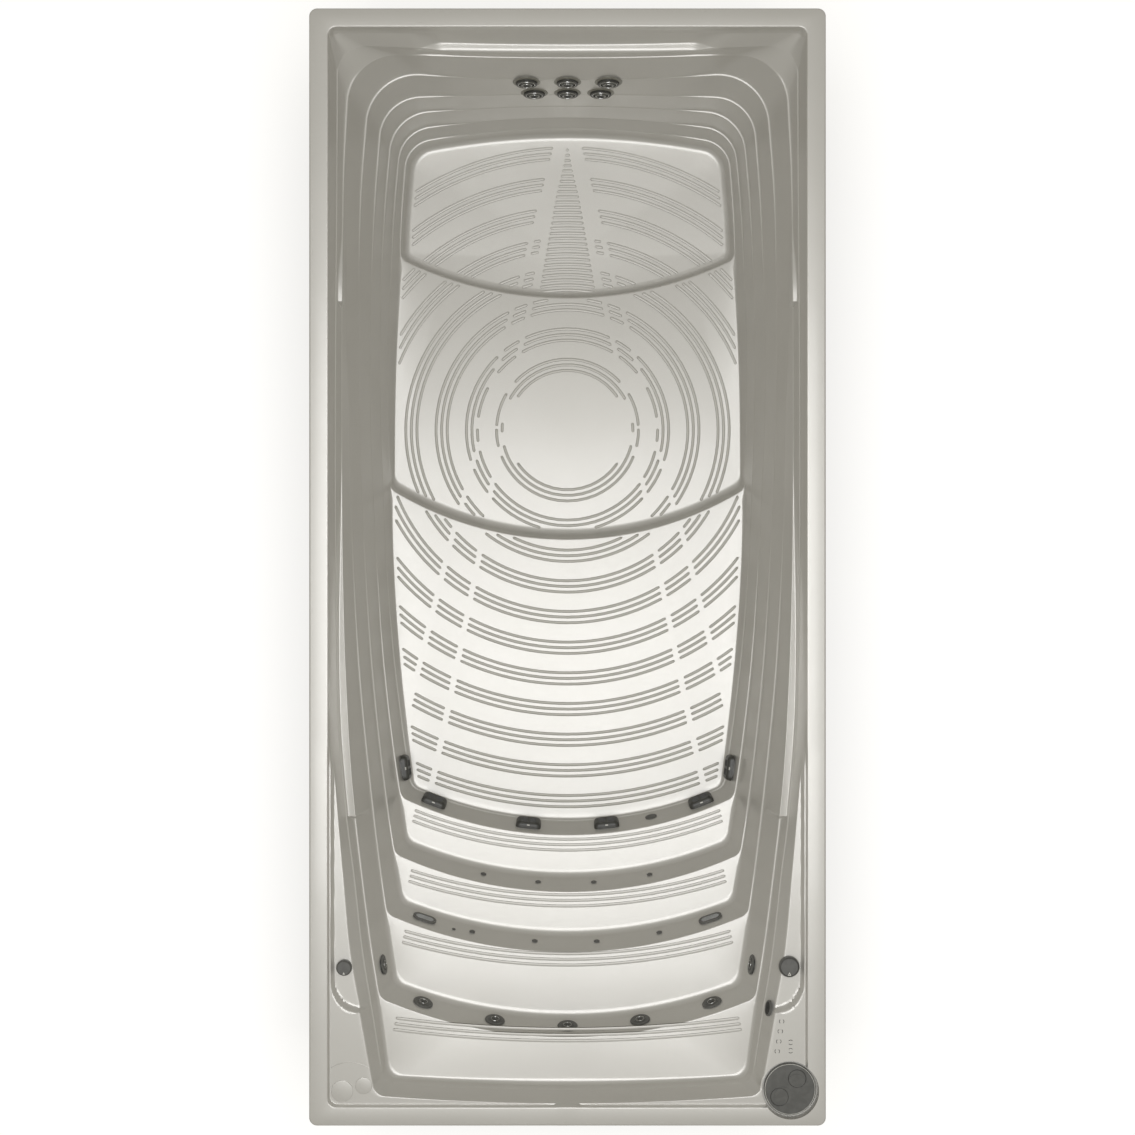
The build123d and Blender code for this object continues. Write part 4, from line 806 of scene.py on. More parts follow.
def floor_masks(x, y):
    """Which points lie on each of the three floors, inside their rib margins."""
    side = np.abs(x)
    first, second = step_line("ledge_1"), step_line("ledge_2")
    last = step_line("ledge_4", rib_riser_rise)
    deep = (y > first(x) + rib_foot_step) & (side < side_line("floor", -rib_margins[0])(y))
    deep &= y < jet_line("floor", -rib_jet_step)(x)
    middle = (y < first(x) - rib_edge_step) & (y > second(x) + rib_foot_step)
    middle &= side < side_line("ledge_1", -rib_margins[1])(y)
    high = (y < second(x) - rib_edge_step) & (y > last(x) + rib_riser_step)
    high &= side < side_line("ledge_2", -rib_margins[2])(y)
    return deep, middle, high


def off_gaps(x, y):
    """True away from the gap lines that cross the rings."""
    clear = np.ones(len(x), dtype=bool)
    for line in gap_lines:
        knots = np.array(sorted(line))
        inside = (y > knots[0, 0]) & (y < knots[-1, 0])
        gap = np.abs(np.abs(x) - np.interp(y, knots[:, 0], knots[:, 1])) < rib_gap
        clear &= ~(inside & gap)
    return clear


def inside_bars(x, y):
    """True inside the triangle of straight bars on the deepest floor."""
    knots = np.array(sorted(gap_lines[0]))
    return (np.abs(x) < np.interp(y, knots[:, 0], knots[:, 1])) & (y > bar_last_y - bar_margin)


def ring_ribs():
    """Paths of all ring ribs with the height of the floor that each lies on."""
    found = []
    turn = np.linspace(-math.pi, math.pi, ring_steps, endpoint=False)
    for ring in range(ring_count):
        for rib in range(3):
            for floor in range(3):
                if floor == 0 and ring > deep_ring_last:
                    continue
                scale = deep_ring_scale if floor == 0 else 1
                radius = (ring_first + ring_pitch * ring) * scale - rib_pitch * rib
                x = radius * np.sin(turn)
                y = ring_centre_y + radius * np.cos(turn)
                mask = floor_masks(x, y)[floor] & off_gaps(x, y)
                if floor == 0:
                    mask &= ~inside_bars(x, y)
                if ring == 0 and rib == 2:
                    mask &= np.abs(y - ring_centre_y) > split_rib_reach
                first_off = int(np.argmin(mask))
                mask, x, y = (np.roll(values, -first_off) for values in (mask, x, y))
                for start, end in runs_of(mask):
                    if (end - start) * radius * (turn[1] - turn[0]) > shortest_rib * rib_width:
                        found.append((np.stack([x, y], axis=-1)[start:end], floor_heights[floor]))
    return found


def bar_ribs():
    """The fan of straight bars, which bow a little more towards the steps."""
    found = []
    knots = np.array(sorted(bar_half_line))
    for y in np.arange(bar_first_y, bar_last_y, -bar_pitch):
        half = np.interp(y, knots[:, 0], knots[:, 1])
        x = np.linspace(-half, half, 9)
        share = (bar_first_y - y) / (bar_first_y - bar_last_y)
        found.append((np.stack([x, y - share * bar_bow * x ** 2], axis=-1), floor_heights[0]))
    return found


def tread_rib_paths():
    """Three ribs on each tread, parallel to its front edge."""
    found = []
    for (half, end_y, middle_y), height in zip(tread_ribs, tread_heights):
        for rib in range(3):
            reach = half + tread_rib_growth * rib
            corner, middle = end_y - tread_rib_pitch[0] * rib, middle_y - tread_rib_pitch[1] * rib
            sag = corner - middle
            radius = (reach ** 2 + sag ** 2) / (2 * sag)
            x = np.linspace(-reach, reach, 121)
            y = middle + radius - np.sqrt(radius ** 2 - x ** 2)
            found.append((np.stack([x, y], axis=-1), height))
    return found


def tubes_mesh(name, tubes):
    """One mesh of several closed tubes, each with a fan at both ends.

    The first UV coordinate runs from 0 to 1 round each ring.
    """
    points, faces, across, start = [], [], [], 0
    for rings in tubes:
        count, around = rings.shape[:2]
        corner = np.arange(count * around).reshape(count, around)
        low, high = corner[:-1], corner[1:]
        quads = np.stack([low, np.roll(low, -1, axis=1), np.roll(high, -1, axis=1), high], axis=-1)
        first, last = np.roll(corner[0], -1), corner[-1]
        middle = np.full(around, count * around)
        caps = np.concatenate([np.stack([first, corner[0], middle], axis=-1),
                               np.stack([last, np.roll(last, -1), middle + 1], axis=-1)])
        faces += (quads.reshape(-1, 4) + start).tolist() + (caps + start).tolist()
        ends = [rings[0].mean(axis=0), rings[-1].mean(axis=0)]
        points.append(np.concatenate([rings.reshape(-1, 3), np.stack(ends)]))
        across.append(np.append(np.tile(np.linspace(0, 1, around), count), (0, 0)))
        start += count * around + 2
    mesh = bpy.data.meshes.new(name)
    mesh.from_pydata(np.concatenate(points).tolist(), [], faces)
    finished(mesh)
    corners = np.empty(len(mesh.loops), dtype=np.int32)
    mesh.loops.foreach_get("vertex_index", corners)
    u = np.concatenate(across)[corners]
    mesh.uv_layers.new(name="across").data.foreach_set("uv", np.stack([u, 0 * u], axis=-1).ravel())
    return mesh


class Shade:
    """A value, colour or vector of a shader; arithmetic on it adds Math nodes."""

    def __init__(self, tree, socket=None):
        self.tree = tree
        self.socket = socket

    def add(self, kind, settings=None, values=None, output=0):
        """Adds a node: its settings first, then its socket values."""
        node = self.tree.nodes.new(kind)
        for key, value in (settings or {}).items():
            setattr(node, key, value)
        for key, value in (values or {}).items():
            if isinstance(value, Shade):
                self.tree.links.new(value.socket, node.inputs[key])
            else:
                node.inputs[key].default_value = value
        return Shade(self.tree, node.outputs[output])

    def math(self, operation, *values):
        return self.add("ShaderNodeMath", {"operation": operation}, dict(enumerate(values)))

    def vector(self, operation, *values):
        return self.add("ShaderNodeVectorMath", {"operation": operation}, dict(enumerate(values)))

    def part(self, axis):
        return self.add("ShaderNodeSeparateXYZ", {}, {0: self}, "XYZ".index(axis))

    def ramp(self, low, high):
        """0 below low and 1 above high, smoothly."""
        return self.add("ShaderNodeMapRange", {"interpolation_type": "SMOOTHSTEP"},
                        {0: self, 1: low, 2: high})

    def mix(self, first, second):
        """First colour where this is 0 and second where it is 1."""
        return self.add("ShaderNodeMix", {"data_type": "RGBA"}, {0: self, 6: first, 7: second}, 2)

    def __add__(self, other):
        return self.math("ADD", self, other)

    def __sub__(self, other):
        return self.math("SUBTRACT", self, other)

    def __rsub__(self, other):
        return self.math("SUBTRACT", other, self)

    def __mul__(self, other):
        return self.math("MULTIPLY", self, other)

    def __truediv__(self, other):
        return self.math("DIVIDE", self, other)

    __radd__ = __add__
    __rmul__ = __mul__


def colour(red, green, blue):
    """A shader colour from 0 to 255 display values, by the sRGB curve."""
    share = np.array([red, green, blue]) / 255
    linear = np.where(share <= 0.04045, share / 12.92, ((share + 0.055) / 1.055) ** 2.4)
    return (*linear.tolist(), 1.0)


def material_of(name, constants):
    """A new material: its Principled node with constants set on its own sockets."""
    material = bpy.data.materials.new(name)
    material.use_nodes = True
    shader = material.node_tree.nodes["Principled BSDF"]
    for key, value in constants.items():
        shader.inputs[key].default_value = value
    shade = Shade(material.node_tree)
    place = shade.add("ShaderNodeTexCoord", output="Object")
    return material, shader, shade, place


def plug(shader, name, shade):
    shade.tree.links.new(shade.socket, shader.inputs[name])


def noise(place, scale, detail=2.0):
    return place.add("ShaderNodeTexNoise", {}, {"Vector": place, "Scale": scale, "Detail": detail})


def bump(height, distance, strength=1.0):
    return height.add("ShaderNodeBump", {}, {"Height": height, "Distance": distance,
                                             "Strength": strength})


def pearl_tone(place, flakes):
    """Pearl beige-grey with soft clouds and fine bright flakes."""
    cloud = noise(place, *pearl_cloud)
    plain = cloud.mix(colour(207, 205, 199), colour(213, 211, 206))
    return (flakes * 0.5).mix(plain, colour(231, 230, 225))


def flakes_of(place):
    """Bright flakes of the acrylic, 0 to 1."""
    return noise(place, flake_scale, 1.0).ramp(*flake_ramp)


def fine_grain(place):
    """The acrylic's fine roughness as a bump."""
    return bump(noise(place, fine_scale, 1.0), fine_depth, fine_strength)


def rib_finish():
    """The same pearl acrylic, darker on the lower floors towards the steps, and darker along both feet of
    a rib as painted crease shade.
    """
    material, shader, shade, place = material_of("ribbed_acrylic", {"Metallic": 0.20})
    flakes = flakes_of(place)
    across = place.add("ShaderNodeUVMap", {"uv_map": "across"}).part("X")
    # 0 on a rib's crown and 1 at its feet: painted shade of the crease beside the floor
    foot = across.math("ABSOLUTE", across - 0.5).ramp(*crease_shade_ramp)
    # Darker towards the steps and on the lower floors
    along = place.part("Y")
    darkened = along.ramp(*darker_y_ramp) * place.part("Z").ramp(*darker_z_ramp)
    darkening = darkened * darker_range[1] + darker_range[0]
    body = darkening.mix(pearl_tone(place, flakes), colour(142, 139, 126))
    # Dark colour at the feet: painted shade in the crease
    plug(shader, "Base Color", foot.mix(body, colour(104, 101, 90)))
    plug(shader, "Roughness", 0.42 + 0.15 * foot)
    plug(shader, "Normal", fine_grain(place))
    return material


def acrylic_finish():
    """Pearl acrylic: fine bright flakes, a faint cloudiness and a clear coat."""
    material, shader, shade, place = material_of(
        "pearl_acrylic", {"Metallic": 0.30, "Coat Weight": 0.35, "Coat Roughness": 0.12})
    flakes = flakes_of(place)
    plug(shader, "Base Color", pearl_tone(place, flakes))
    plug(shader, "Roughness", 0.36 + 0.06 * noise(place, gloss_scale) - 0.10 * flakes)
    plug(shader, "Normal", fine_grain(place))
    return material


def moulded_finish(name, base, other, roughness, grain=900.0, depth=0.00004, coat=0.0):
    """Moulded plastic: two close tones in soft clouds and a fine grain."""
    material, shader, shade, place = material_of(name, {"Coat Weight": coat, "Coat Roughness": 0.2})
    cloud = noise(place, *moulded_cloud)
    plug(shader, "Base Color", cloud.ramp(*cloud_ramp).mix(colour(*base), colour(*other)))
    plug(shader, "Roughness", roughness + 0.08 * noise(place, moulded_gloss_scale))
    plug(shader, "Normal", bump(noise(place, grain), depth, 0.6))
    return material


def plank_finish():
    """Composite planks: long level grain, finer streaks and dull patches."""
    material, shader, shade, place = material_of("cabinet_planks", {})
    grain = noise(place.vector("MULTIPLY", place, plank_stretch), *plank_grain)
    streak = noise(place.vector("MULTIPLY", place, streak_stretch), *plank_streak)
    tone = grain.ramp(*cloud_ramp).mix(colour(88, 86, 82), colour(112, 109, 104))
    plug(shader, "Base Color", streak.ramp(*streak_ramp).mix(tone, colour(74, 72, 69)))
    plug(shader, "Roughness", 0.52 + 0.2 * streak)
    plug(shader, "Normal", bump(grain + 0.5 * streak, plank_depth, 0.5))
    return material


def metal_finish(name, tone, roughness, stretch, spangle=0.0):
    """Metal: brushed streaks along one direction, or a galvanised spangle."""
    material, shader, shade, place = material_of(name, {"Metallic": 1.0})
    streak = noise(place.vector("MULTIPLY", place, stretch), *metal_streak)
    crystals = place.add("ShaderNodeTexVoronoi", {}, {"Vector": place, "Scale": spangle_scale}, "Color")
    grey = streak.mix(colour(*tone), colour(*(min(255, value + spangle_step) for value in tone)))
    patch = crystals.part("X") * spangle
    plug(shader, "Base Color", patch.mix(grey, colour(235, 236, 238)))
    plug(shader, "Roughness", roughness + 0.12 * streak + 0.15 * patch)
    plug(shader, "Normal", bump(streak, metal_depth, 0.3))
    return material


def lens_finish():
    """Frosted clear plastic over a light."""
    material, shader, shade, place = material_of(
        "frosted_lens", {"Transmission Weight": 0.55, "IOR": 1.49})
    frost = noise(place, frost_scales[0])
    plug(shader, "Base Color", frost.mix(colour(226, 230, 232), colour(240, 242, 243)))
    plug(shader, "Roughness", 0.30 + 0.2 * noise(place, frost_scales[1]))
    return material


def media_finish():
    """Pleated filter fabric: fine weave with soft grey dirt."""
    material, shader, shade, place = material_of("filter_fabric", {"Sheen Weight": 0.3})
    threads = noise(place, *weave)
    patches = noise(place, *dirt).ramp(*dirt_ramp)
    plug(shader, "Base Color", patches.mix(colour(240, 240, 236), colour(222, 221, 214)))
    plug(shader, "Roughness", 0.8 + 0.15 * threads)
    plug(shader, "Normal", bump(threads, weave_depth, 0.5))
    return material


def placed(rings, place):
    """Rings moved by a 4x4 matrix."""
    return rings @ place[:3, :3].T + place[:3, 3]


def turned(profile, place=np.eye(4), steps=48):
    """Rings of a profile of (radius, height) turned about Z, from the foot outwards and up."""
    table = np.array(profile, dtype=float)
    angle = np.linspace(0, 2 * math.pi, steps, endpoint=False)
    rings = np.empty((len(table), steps, 3))
    rings[..., 0] = table[:, :1] * np.cos(angle)
    rings[..., 1] = table[:, :1] * np.sin(angle)
    rings[..., 2] = table[:, 1:]
    return placed(rings, place)


def bead(ring_radius, size, height, place, steps=64):
    """Closed ring of round section: a tiny torus whose rows are cut open at its seam."""
    turn = np.linspace(0, 2 * math.pi, 9)
    profile = [(ring_radius + size * math.cos(t), height + size * math.sin(t)) for t in turn]
    return turned(profile, place, steps)


def rings_mesh(name, bands):
    """Mesh of closed rings: the last row of each band meets its first row."""
    points, faces, start = [], [], 0
    for rings in bands:
        rows = rings[:-1]
        count, around = rows.shape[:2]
        corner = np.arange(count * around).reshape(count, around)
        high = np.roll(corner, -1, axis=0)
        quads = np.stack([corner, np.roll(corner, -1, axis=1), np.roll(high, -1, axis=1), high], axis=-1)
        faces += (quads.reshape(-1, 4) + start).tolist()
        points.append(rows.reshape(-1, 3))
        start += count * around
    mesh = bpy.data.meshes.new(name)
    mesh.from_pydata(np.concatenate(points).tolist(), [], faces)
    return finished(mesh)


def frame_at(origin, axis, level=None):
    """4x4 matrix whose Z is the axis and whose X is level, or the given direction."""
    z = np.array(axis, dtype=float)
    z /= np.linalg.norm(z)
    x = np.cross((0, 0, 1), z) if level is None else np.array(level, dtype=float)
    x = np.array([1.0, 0, 0]) if np.linalg.norm(x) < 1e-6 else x / np.linalg.norm(x)
    place = np.eye(4)
    place[:3, 0], place[:3, 1], place[:3, 2], place[:3, 3] = x, np.cross(z, x), z, origin
    return place


def joint_of(name):
    return next(joint for joint in frame["record"]["behaviour"]["joints"] if joint["name"] == name)


def swim_jet_frames():
    """Frames of the swim jets at their ball centres, facing the water."""
    found = []
    for number in range(1, 7):
        joint = joint_of(f"swim_jet_nozzle_{number}_tilt")
        level = np.array(joint["axis"])
        found.append(frame_at(joint["pos_m"], (level[1], -level[0], swim_wall_lean), level))
    return found


def therapy_jet_frames():
    """Frames of the therapy jets on the wall, facing the water."""
    joints = [joint_of(f"therapy_jet_face_{number}_turn") for number in range(1, 8)]
    return [frame_at(joint["pos_m"], joint["axis"]) for joint in joints]


# Finishes by the record's material slots
acrylic = acrylic_finish()
dark_plastic = moulded_finish("dark_plastic", (96, 96, 93), (104, 104, 101), 0.34)
jet_grey = moulded_finish("jet_grey", (138, 136, 126), (146, 144, 134), 0.34)
# Black jet plastic; the same finish also paints shade in the keypad's arcs, the filter lid's grooves and
# the suction covers' slots
jet_black = moulded_finish("jet_black", (58, 58, 55), (66, 66, 63), 0.32)
charcoal = moulded_finish("charcoal", (64, 64, 60), (72, 72, 68), 0.36)
# Pale plastic for pointers and notches; it also paints the highlight near the filter lid's edge
pale_mark = moulded_finish("pale_mark", (214, 213, 206), (222, 221, 215), 0.4)
bright_ring = metal_finish("bright_ring", (205, 205, 202), 0.22, (40.0, 40.0, 40.0))
finishes = {
    "acrylic": acrylic,
    "dark_plastic": dark_plastic,
    "lens": lens_finish(),
    "cabinet_panel": plank_finish(),
    "cabinet_trim": moulded_finish("cabinet_trim", (58, 57, 56), (66, 65, 63), 0.5),
    "pan": moulded_finish("base_tray", (44, 44, 45), (52, 52, 52), 0.6, 300.0, 0.0002),
    "frame_metal": metal_finish("galvanised_steel", (160, 163, 166), 0.38, (1.0, 1.0, 1.0), 0.6),
    "screws": metal_finish("screw_steel", (178, 178, 176), 0.25, (30.0, 30.0, 2.0)),
    "pipe": moulded_finish("pipe_plastic", (222, 222, 218), (232, 232, 228), 0.35),
    "motor": moulded_finish("motor_paint", (52, 54, 58), (60, 62, 66), 0.42, 500.0, 0.0001, 0.3),
    "wet_end": moulded_finish("pump_plastic", (36, 36, 37), (44, 44, 44), 0.4),
    "box": moulded_finish("box_plastic", (128, 130, 132), (138, 140, 142), 0.45, 400.0, 0.0001),
    "steel": metal_finish("heater_steel", (168, 168, 166), 0.22, (2.0, 40.0, 40.0)),
    "filter_media": media_finish(),
    "button": acrylic,
}


def dress_nodes():
    """Gives every CAD node the finish of its slot in the record."""
    for part in frame["record"]["subparts"]:
        obj = frame["nodes"][part["node"]]
        obj.data.materials.clear()
        obj.data.materials.append(finishes[part["material_slot"]])


def level_disc(x, y, profile):
    """Turned rings of a profile of (radius, height) about an upright axis."""
    return turned(profile, frame_at((x, y, 0), (0, 0, 1)))


def band(place, inner, outer, low, high, edge=0.0008):
    """Closed flat ring with chamfered edges."""
    return turned([(inner, low), (outer, low), (outer, high - edge), (outer - edge, high),
                   (inner + edge, high), (inner, high - edge), (inner, low)], place)


def outline_rows(outline, levels):
    """Rings of a plan outline; each level is its height and how far it is drawn in."""
    outline = np.asarray(outline, dtype=float)
    middle = outline.mean(axis=0)
    reach = np.linalg.norm(outline - middle, axis=1, keepdims=True)
    rings = [np.column_stack([middle + (outline - middle) * (1 - inset / reach),
                              np.full(len(outline), height)]) for height, inset in levels]
    return np.stack(rings)


def rounded_outline(corners, radius, samples=8):
    """Outline with each corner replaced by a quadratic Bezier curve."""
    corners = np.asarray(corners, dtype=float)
    points = []
    for before, here, after in zip(np.roll(corners, 1, axis=0), corners, np.roll(corners, -1, axis=0)):
        start = here + (before - here) / np.linalg.norm(before - here) * radius
        end = here + (after - here) / np.linalg.norm(after - here) * radius
        t = np.linspace(0, 1, samples)[:, None]
        points.append(start * (1 - t) ** 2 + here * 2 * t * (1 - t) + end * t ** 2)
    return np.concatenate(points)


def rod_rows(path, radius, sides=8):
    """Round rod along a nearly level path of points."""
    path = np.asarray(path, dtype=float)
    tangent = np.gradient(path, axis=0)
    tangent /= np.linalg.norm(tangent, axis=1, keepdims=True)
    across = np.cross(tangent, (0, 0, 1))
    across /= np.linalg.norm(across, axis=1, keepdims=True)
    up = np.cross(across, tangent)
    turn = np.linspace(0, 2 * math.pi, sides, endpoint=False)[:, None]
    return path[:, None] + radius * (np.cos(turn) * across[:, None] + np.sin(turn) * up[:, None])


def add_piece(name, mesh, material, body="spa", replaced=()):
    """A piece with its body and the CAD nodes it stands for."""
    obj = piece(name, mesh, material, body)
    if replaced:
        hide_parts(*replaced)
    return obj


def combine(obj, operation, shapes):
    """Joins closed shapes to a piece's mesh, or cuts them out of it."""
    tool = bpy.data.objects.new("tool", tubes_mesh("tool", shapes))
    bpy.context.scene.collection.objects.link(tool)
    change = obj.modifiers.new(operation, "BOOLEAN")
    change.operation, change.object, change.solver = operation, tool, "EXACT"
    bpy.context.view_layer.update()
    done = bpy.data.meshes.new_from_object(obj.evaluated_get(bpy.context.evaluated_depsgraph_get()))
    obj.modifiers.clear()
    obj.data = done
    bpy.data.objects.remove(tool)


def cut_pocket(basin):
    """Adds the filter pocket's wall below the deck and the rim, then cuts the pocket and its hole."""
    x, y = filter_centre
    outer = pocket_radius + pocket_wall
    below = deck_height - pocket_overlap
    plug_deck = level_disc(x, y, [(outer, pocket_foot), (outer, below)])
    under_rim = rim_top - pocket_overlap
    plug_rim = level_disc(x, y, [(outer, pocket_foot), (outer, under_rim)])
    plug_rim[..., 0] = np.maximum(plug_rim[..., 0], basin_half_width + rim_overlap)
    plug_south = level_disc(x, y, [(outer, pocket_foot), (outer, under_rim)])
    plug_south[..., 1] = np.minimum(plug_south[..., 1], -basin_half_length - rim_overlap)
    above = rim_top + pocket_overrun
    pocket = level_disc(x, y, [(pocket_radius, pocket_floor), (pocket_radius, above)])
    hole = level_disc(x, y, [(canister_bore, pocket_foot - pocket_overrun), (canister_bore, above)])
    combine(basin, "UNION", [plug_deck])
    combine(basin, "UNION", [plug_rim])
    combine(basin, "UNION", [plug_south])
    combine(basin, "DIFFERENCE", [pocket])
    combine(basin, "DIFFERENCE", [hole])
    basin.data.name = "basin"
    finished(basin.data)


def swim_jet_trims():
    """Dark collar and bright thin ring round each swim jet's nozzle."""
    collars, rings = [], []
    for place in swim_jet_frames():
        collars.append(band(place, *collar))
        rings.append(bead(*collar_bead, place))
    add_piece("swim_jet_collars", rings_mesh("swim_jet_collars", collars), jet_black)
    add_piece("swim_jet_rings", rings_mesh("swim_jet_rings", rings), bright_ring)


def nozzle_rings():
    """A bright lip on each nozzle and a pale ring on each therapy jet's face; they turn with it."""
    for number, place in enumerate(swim_jet_frames(), 1):
        add_piece(f"swim_jet_lip_{number}", rings_mesh("lip", [bead(*nozzle_bead, place)]),
                  bright_ring, f"swim_jet_nozzle_{number}")
    for number, place in enumerate(therapy_jet_frames(), 1):
        add_piece(f"therapy_jet_ring_{number}", rings_mesh("ring", [bead(*face_bead, place)]),
                  bright_ring, f"therapy_jet_face_{number}")


def knob_marks():
    """Pointers on the two knobs: a pale wedge each, and a dark dot on the larger one."""
    for knob, (reach, half) in pointers.items():
        x, y, z = joint_of(knob + "_turn")["pos_m"]
        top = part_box(knob)[1][2]
        corners = [(x - half, y - reach - half), (x, y - reach + half), (x + half, y - reach - half)]
        levels = [(top + level, 0) for level in pointer_levels]
        wedge = outline_rows(rounded_outline(corners, pointer_corner, 4), levels)
        add_piece(knob + "_pointer", tubes_mesh("pointer", [wedge]), pale_mark, knob)
        if knob == "diverter_knob":
            radius, rise = pointer_dot
            dot_y = y - reach - pointer_dot_share * half
            dot = level_disc(x, dot_y, [(radius, top), (radius, top + rise)])
            add_piece(knob + "_dot", tubes_mesh("dot", [dot]), jet_black, knob)
            size, sink = knob_bead
            line = bead(knob_top_radius, size, top - sink, frame_at((x, y, 0), (0, 0, 1)))
            add_piece(knob + "_edge", rings_mesh("edge", [line]), jet_black, knob)


def keypad():
    """Flush keypad plate with a hole for each button, and a pair of dark curved strips round each one,
    painted shade of the button's rounded sides.
    """
    outer = half_width - keypad_outer_drop
    corners = [(outer, keypad_north), (outer, keypad_south),
               (outer - keypad_south_width, keypad_south), (outer - keypad_north_width, keypad_north)]
    plate = outline_rows(rounded_outline(corners, pad_corner),
                         [(deck_height + level, 0) for level in pad_levels])
    pad = add_piece("keypad_plate", tubes_mesh("keypad_plate", [plate]), acrylic,
                    replaced=("keypad_bezel",))
    angle = np.radians(np.linspace(-button_shade_half_angle, button_shade_half_angle, 13))
    button_shades, holes = [], []
    for number in range(1, 7):
        low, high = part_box(f"keypad_button_{number}")
        x, y = (low[0] + high[0]) / 2, (low[1] + high[1]) / 2
        holes.append(level_disc(x, y, [(button_hole, deck_height + level) for level in hole_levels]))
        # Two dark arcs at each button: painted shade of its rounded sides
        for side in (1, -1):
            along, across = button_shade_radius * side * np.cos(angle), button_shade_radius * np.sin(angle)
            if number > 4:
                along, across = across, along
            line = np.column_stack([x + along, y + across, np.full(len(angle), deck_height - button_shade_sink)])
            button_shades.append(rod_rows(line, button_shade_thickness))
    combine(pad, "DIFFERENCE", holes)
    finished(pad.data)
    add_piece("keypad_marks", tubes_mesh("keypad_marks", button_shades), jet_black)


def deck_discs():
    """Two low round covers and a raised arc on the left corner deck."""
    discs = [level_disc(x, y, [(radius - inset, deck_height + rise) for inset, rise in disc_steps])
             for x, y, radius in corner_discs]
    add_piece("corner_discs", tubes_mesh("corner_discs", discs), acrylic)
    x = np.linspace(*arc_xs, 24)
    y = arc_middle[1] - arc_bow * ((x - arc_middle[0]) / arc_half_width) ** 2
    arc = rod_rows(np.column_stack([x, y, np.full(len(x), deck_height - arc_sink)]), arc_radius)
    add_piece("deck_arc", tubes_mesh("deck_arc", [arc]), acrylic)


def overflow_cover():
    """Round dark cover on the right wall, with a raised rim and a grid of slots."""
    place = frame_at(overflow_place, overflow_facing)
    plate = turned(overflow_profile, place)
    add_piece("overflow_cover", tubes_mesh("overflow_cover", [plate]), dark_plastic,
              replaced=("overflow_fitting",))
    bars = []
    for offset in np.arange(*overflow_bar_rows):
        half = math.sqrt(overflow_bar_reach ** 2 - offset ** 2)
        line = np.column_stack([np.linspace(-half, half, 5), np.full(5, offset),
                                np.full(5, overflow_bar_height)])
        bars.append(rod_rows(placed(line, place), overflow_bar_radius))
    add_piece("overflow_bars", tubes_mesh("overflow_bars", bars), jet_black)


def node_points(name, x, y, reach):
    """Vertices of a CAD node near a place in plan."""
    mesh = frame["nodes"][name].data
    points = np.empty(len(mesh.vertices) * 3)
    mesh.vertices.foreach_get("co", points)
    points = points.reshape(-1, 3)
    return points[np.hypot(points[:, 0] - x, points[:, 1] - y) < reach]


def suction_frames():
    """Frame of each suction cover: its thinnest direction is the facing."""
    found = []
    for x, y in suction_places:
        points = node_points("suction_covers", x, y, suction_find_reach)
        centre = (points.min(axis=0) + points.max(axis=0)) / 2
        axes = np.linalg.svd(points - points.mean(axis=0), full_matrices=False)[2]
        facing = axes[2] * np.sign(axes[2][2])
        found.append(frame_at(centre, facing))
    return found


def suction_grilles():
    """Domed charcoal covers with dark rods across them, painted shade in their slots, and one pale notch
    each.
    """
    half_x, half_y = suction_half
    corners = [(-half_x, -half_y), (half_x, -half_y), (half_x, half_y), (-half_x, half_y)]
    outline = rounded_outline(corners, suction_corner)
    domes, slots, notches = [], [], []
    levels = [(share * suction_rise, inset) for share, inset in dome_levels]
    for place in suction_frames():
        domes.append(placed(outline_rows(outline, levels), place))
        # Dark rods along each slot: painted shade inside the openings
        for share in slot_shares:
            for side in (-1, 1):
                run = np.linspace(*(half_x * reach for reach in slot_run_shares), 6) * side
                line = np.column_stack([run, np.full(6, share * half_y), np.full(6, suction_rise)])
                slots.append(placed(rod_rows(line, slot_radius), place))
        up = 1 if place[2][1] > 0 else -1
        line = np.column_stack([np.linspace(-notch_half, notch_half, 6),
                                np.full(6, up * (half_y - notch_inset)),
                                np.full(6, notch_rise_share * suction_rise)])
        notches.append(placed(rod_rows(line, notch_radius), place))
    add_piece("suction_domes", tubes_mesh("suction_domes", domes), charcoal,
              replaced=("suction_covers",))
    add_piece("suction_slots", tubes_mesh("suction_slots", slots), jet_black)
    add_piece("suction_notches", tubes_mesh("suction_notches", notches), pale_mark)


def lid_rings():
    """Fine dark rings round the lid's two discs, painted shade of their grooves, and a pale ring near its
    edge, a painted highlight.
    """
    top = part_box("filter_lid")[1][2]
    # Dark rings: painted shade in the grooves round the discs
    size, sink = lid_groove_shade
    groove_shades = [bead(lid_disc_radius, size, top - sink, frame_at((*centre, 0), (0, 0, 1)))
               for centre in lid_disc_centres]
    add_piece("filter_lid_grooves", rings_mesh("filter_lid_grooves", groove_shades), jet_black,
              "filter_lid")
    # Pale ring near the edge: painted highlight
    place = frame_at((*filter_centre, 0), (0, 0, 1))
    line = bead(lid_radius - lid_highlight_inset, lid_highlight_size, top - lid_disc_rise, place, 96)
    add_piece("filter_lid_edge", rings_mesh("filter_lid_edge", [line]), pale_mark, "filter_lid")


basin = piece("basin", grid_mesh("basin", full_loops(basin_rows())), acrylic)
cut_pocket(basin)
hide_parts("shell")
rib_tubes = [rib_rows(path, z) for path, z in ring_ribs() + bar_ribs() + tread_rib_paths()]
add_piece("floor_ribs", tubes_mesh("floor_ribs", rib_tubes), rib_finish())
dress_nodes()
frame["nodes"]["swim_jet_bodies"].data.materials[0] = jet_grey
swim_jet_trims()
nozzle_rings()
knob_marks()
keypad()
deck_discs()
overflow_cover()
suction_grilles()
lid_rings()


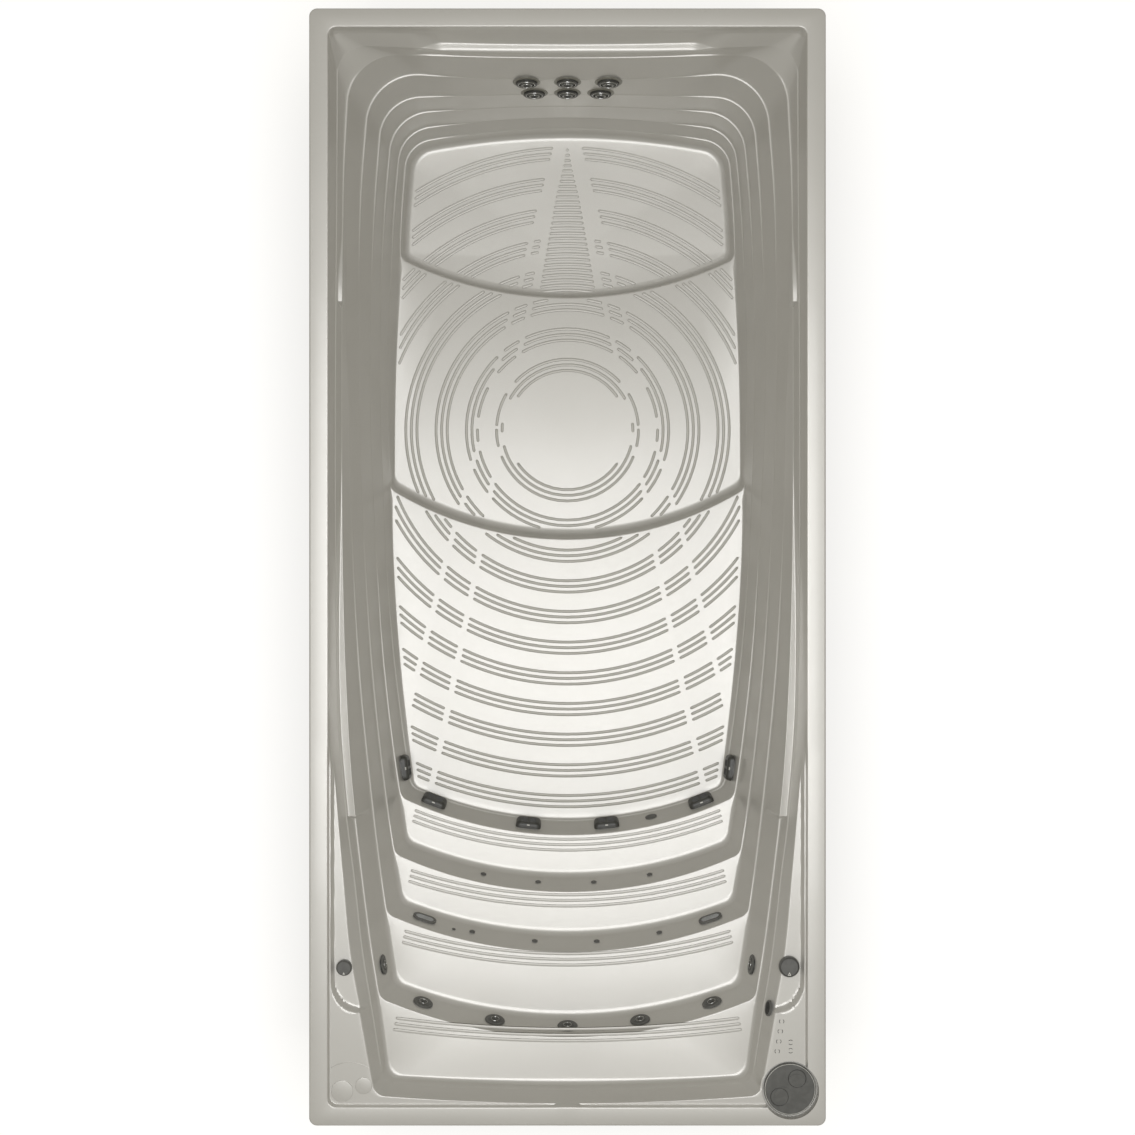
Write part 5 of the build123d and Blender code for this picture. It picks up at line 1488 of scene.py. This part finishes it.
# Backdrop, light and camera
def backdrop():
    """White to the camera, and a plain pale ground for the object's own reflections and shadow."""
    mesh = bpy.data.meshes.new("ground")
    reach = ground_reach
    mesh.from_pydata([(-reach, -reach, 0), (reach, -reach, 0), (reach, reach, 0), (-reach, reach, 0)],
                     [], [(0, 1, 2, 3)])
    ground = bpy.data.objects.new("ground", mesh)
    bpy.context.scene.collection.objects.link(ground)
    material = bpy.data.materials.new("ground_white")
    material.use_nodes = True
    ground.data.materials.append(material)
    shader = material.node_tree.nodes["Principled BSDF"]
    shader.inputs["Roughness"].default_value = 1.0
    shader.inputs["Specular IOR Level"].default_value = 0.0
    shade = Shade(material.node_tree)
    seen = shade.add("ShaderNodeLightPath", output="Is Camera Ray")
    plug(shader, "Base Color", seen.mix(colour(190, 190, 190), colour(252, 252, 252)))
    plug(shader, "Emission Color", seen.mix(colour(0, 0, 0), colour(188, 188, 188)))
    shader.inputs["Emission Strength"].default_value = 1.0


def world_light():
    """Even pale light, white where the camera looks straight at it."""
    world = bpy.data.worlds.new("pale_room")
    bpy.context.scene.world = world
    world.use_nodes = True
    tree = world.node_tree
    shade = Shade(tree)
    path = shade.add("ShaderNodeLightPath", output="Is Camera Ray")
    strength = path.math("MULTIPLY_ADD", path, 1.0 - world_strength, world_strength)
    tree.links.new(strength.socket, tree.nodes["Background"].inputs["Strength"])
    seen = shade.add("ShaderNodeLightPath", output="Is Camera Ray")
    tone = seen.mix(colour(*world_tint), colour(255, 255, 255))
    tree.links.new(tone.socket, tree.nodes["Background"].inputs["Color"])


def area_lamp(name, place, aim, size, power):
    """A square soft lamp at a place, turned towards a point."""
    data = bpy.data.lights.new(name, "AREA")
    data.size = size
    data.energy = power
    data.color = lamp_tint
    lamp = bpy.data.objects.new(name, data)
    bpy.context.scene.collection.objects.link(lamp)
    lamp.location = place
    direction = Vector(aim) - Vector(place)
    lamp.rotation_euler = direction.to_track_quat("-Z", "Y").to_euler()


backdrop()
world_light()
area_lamp("key", lamp_place, lamp_aim, lamp_size, lamp_power)

camera = bpy.data.objects.new("camera", bpy.data.cameras.new("camera"))
bpy.context.scene.collection.objects.link(camera)
camera.location = (0, camera_y, camera_height)
camera.data.sensor_width = sensor_width
camera.data.lens = focal_share * sensor_width
bpy.context.scene.camera = camera
bpy.context.scene.view_settings.view_transform = "Standard"
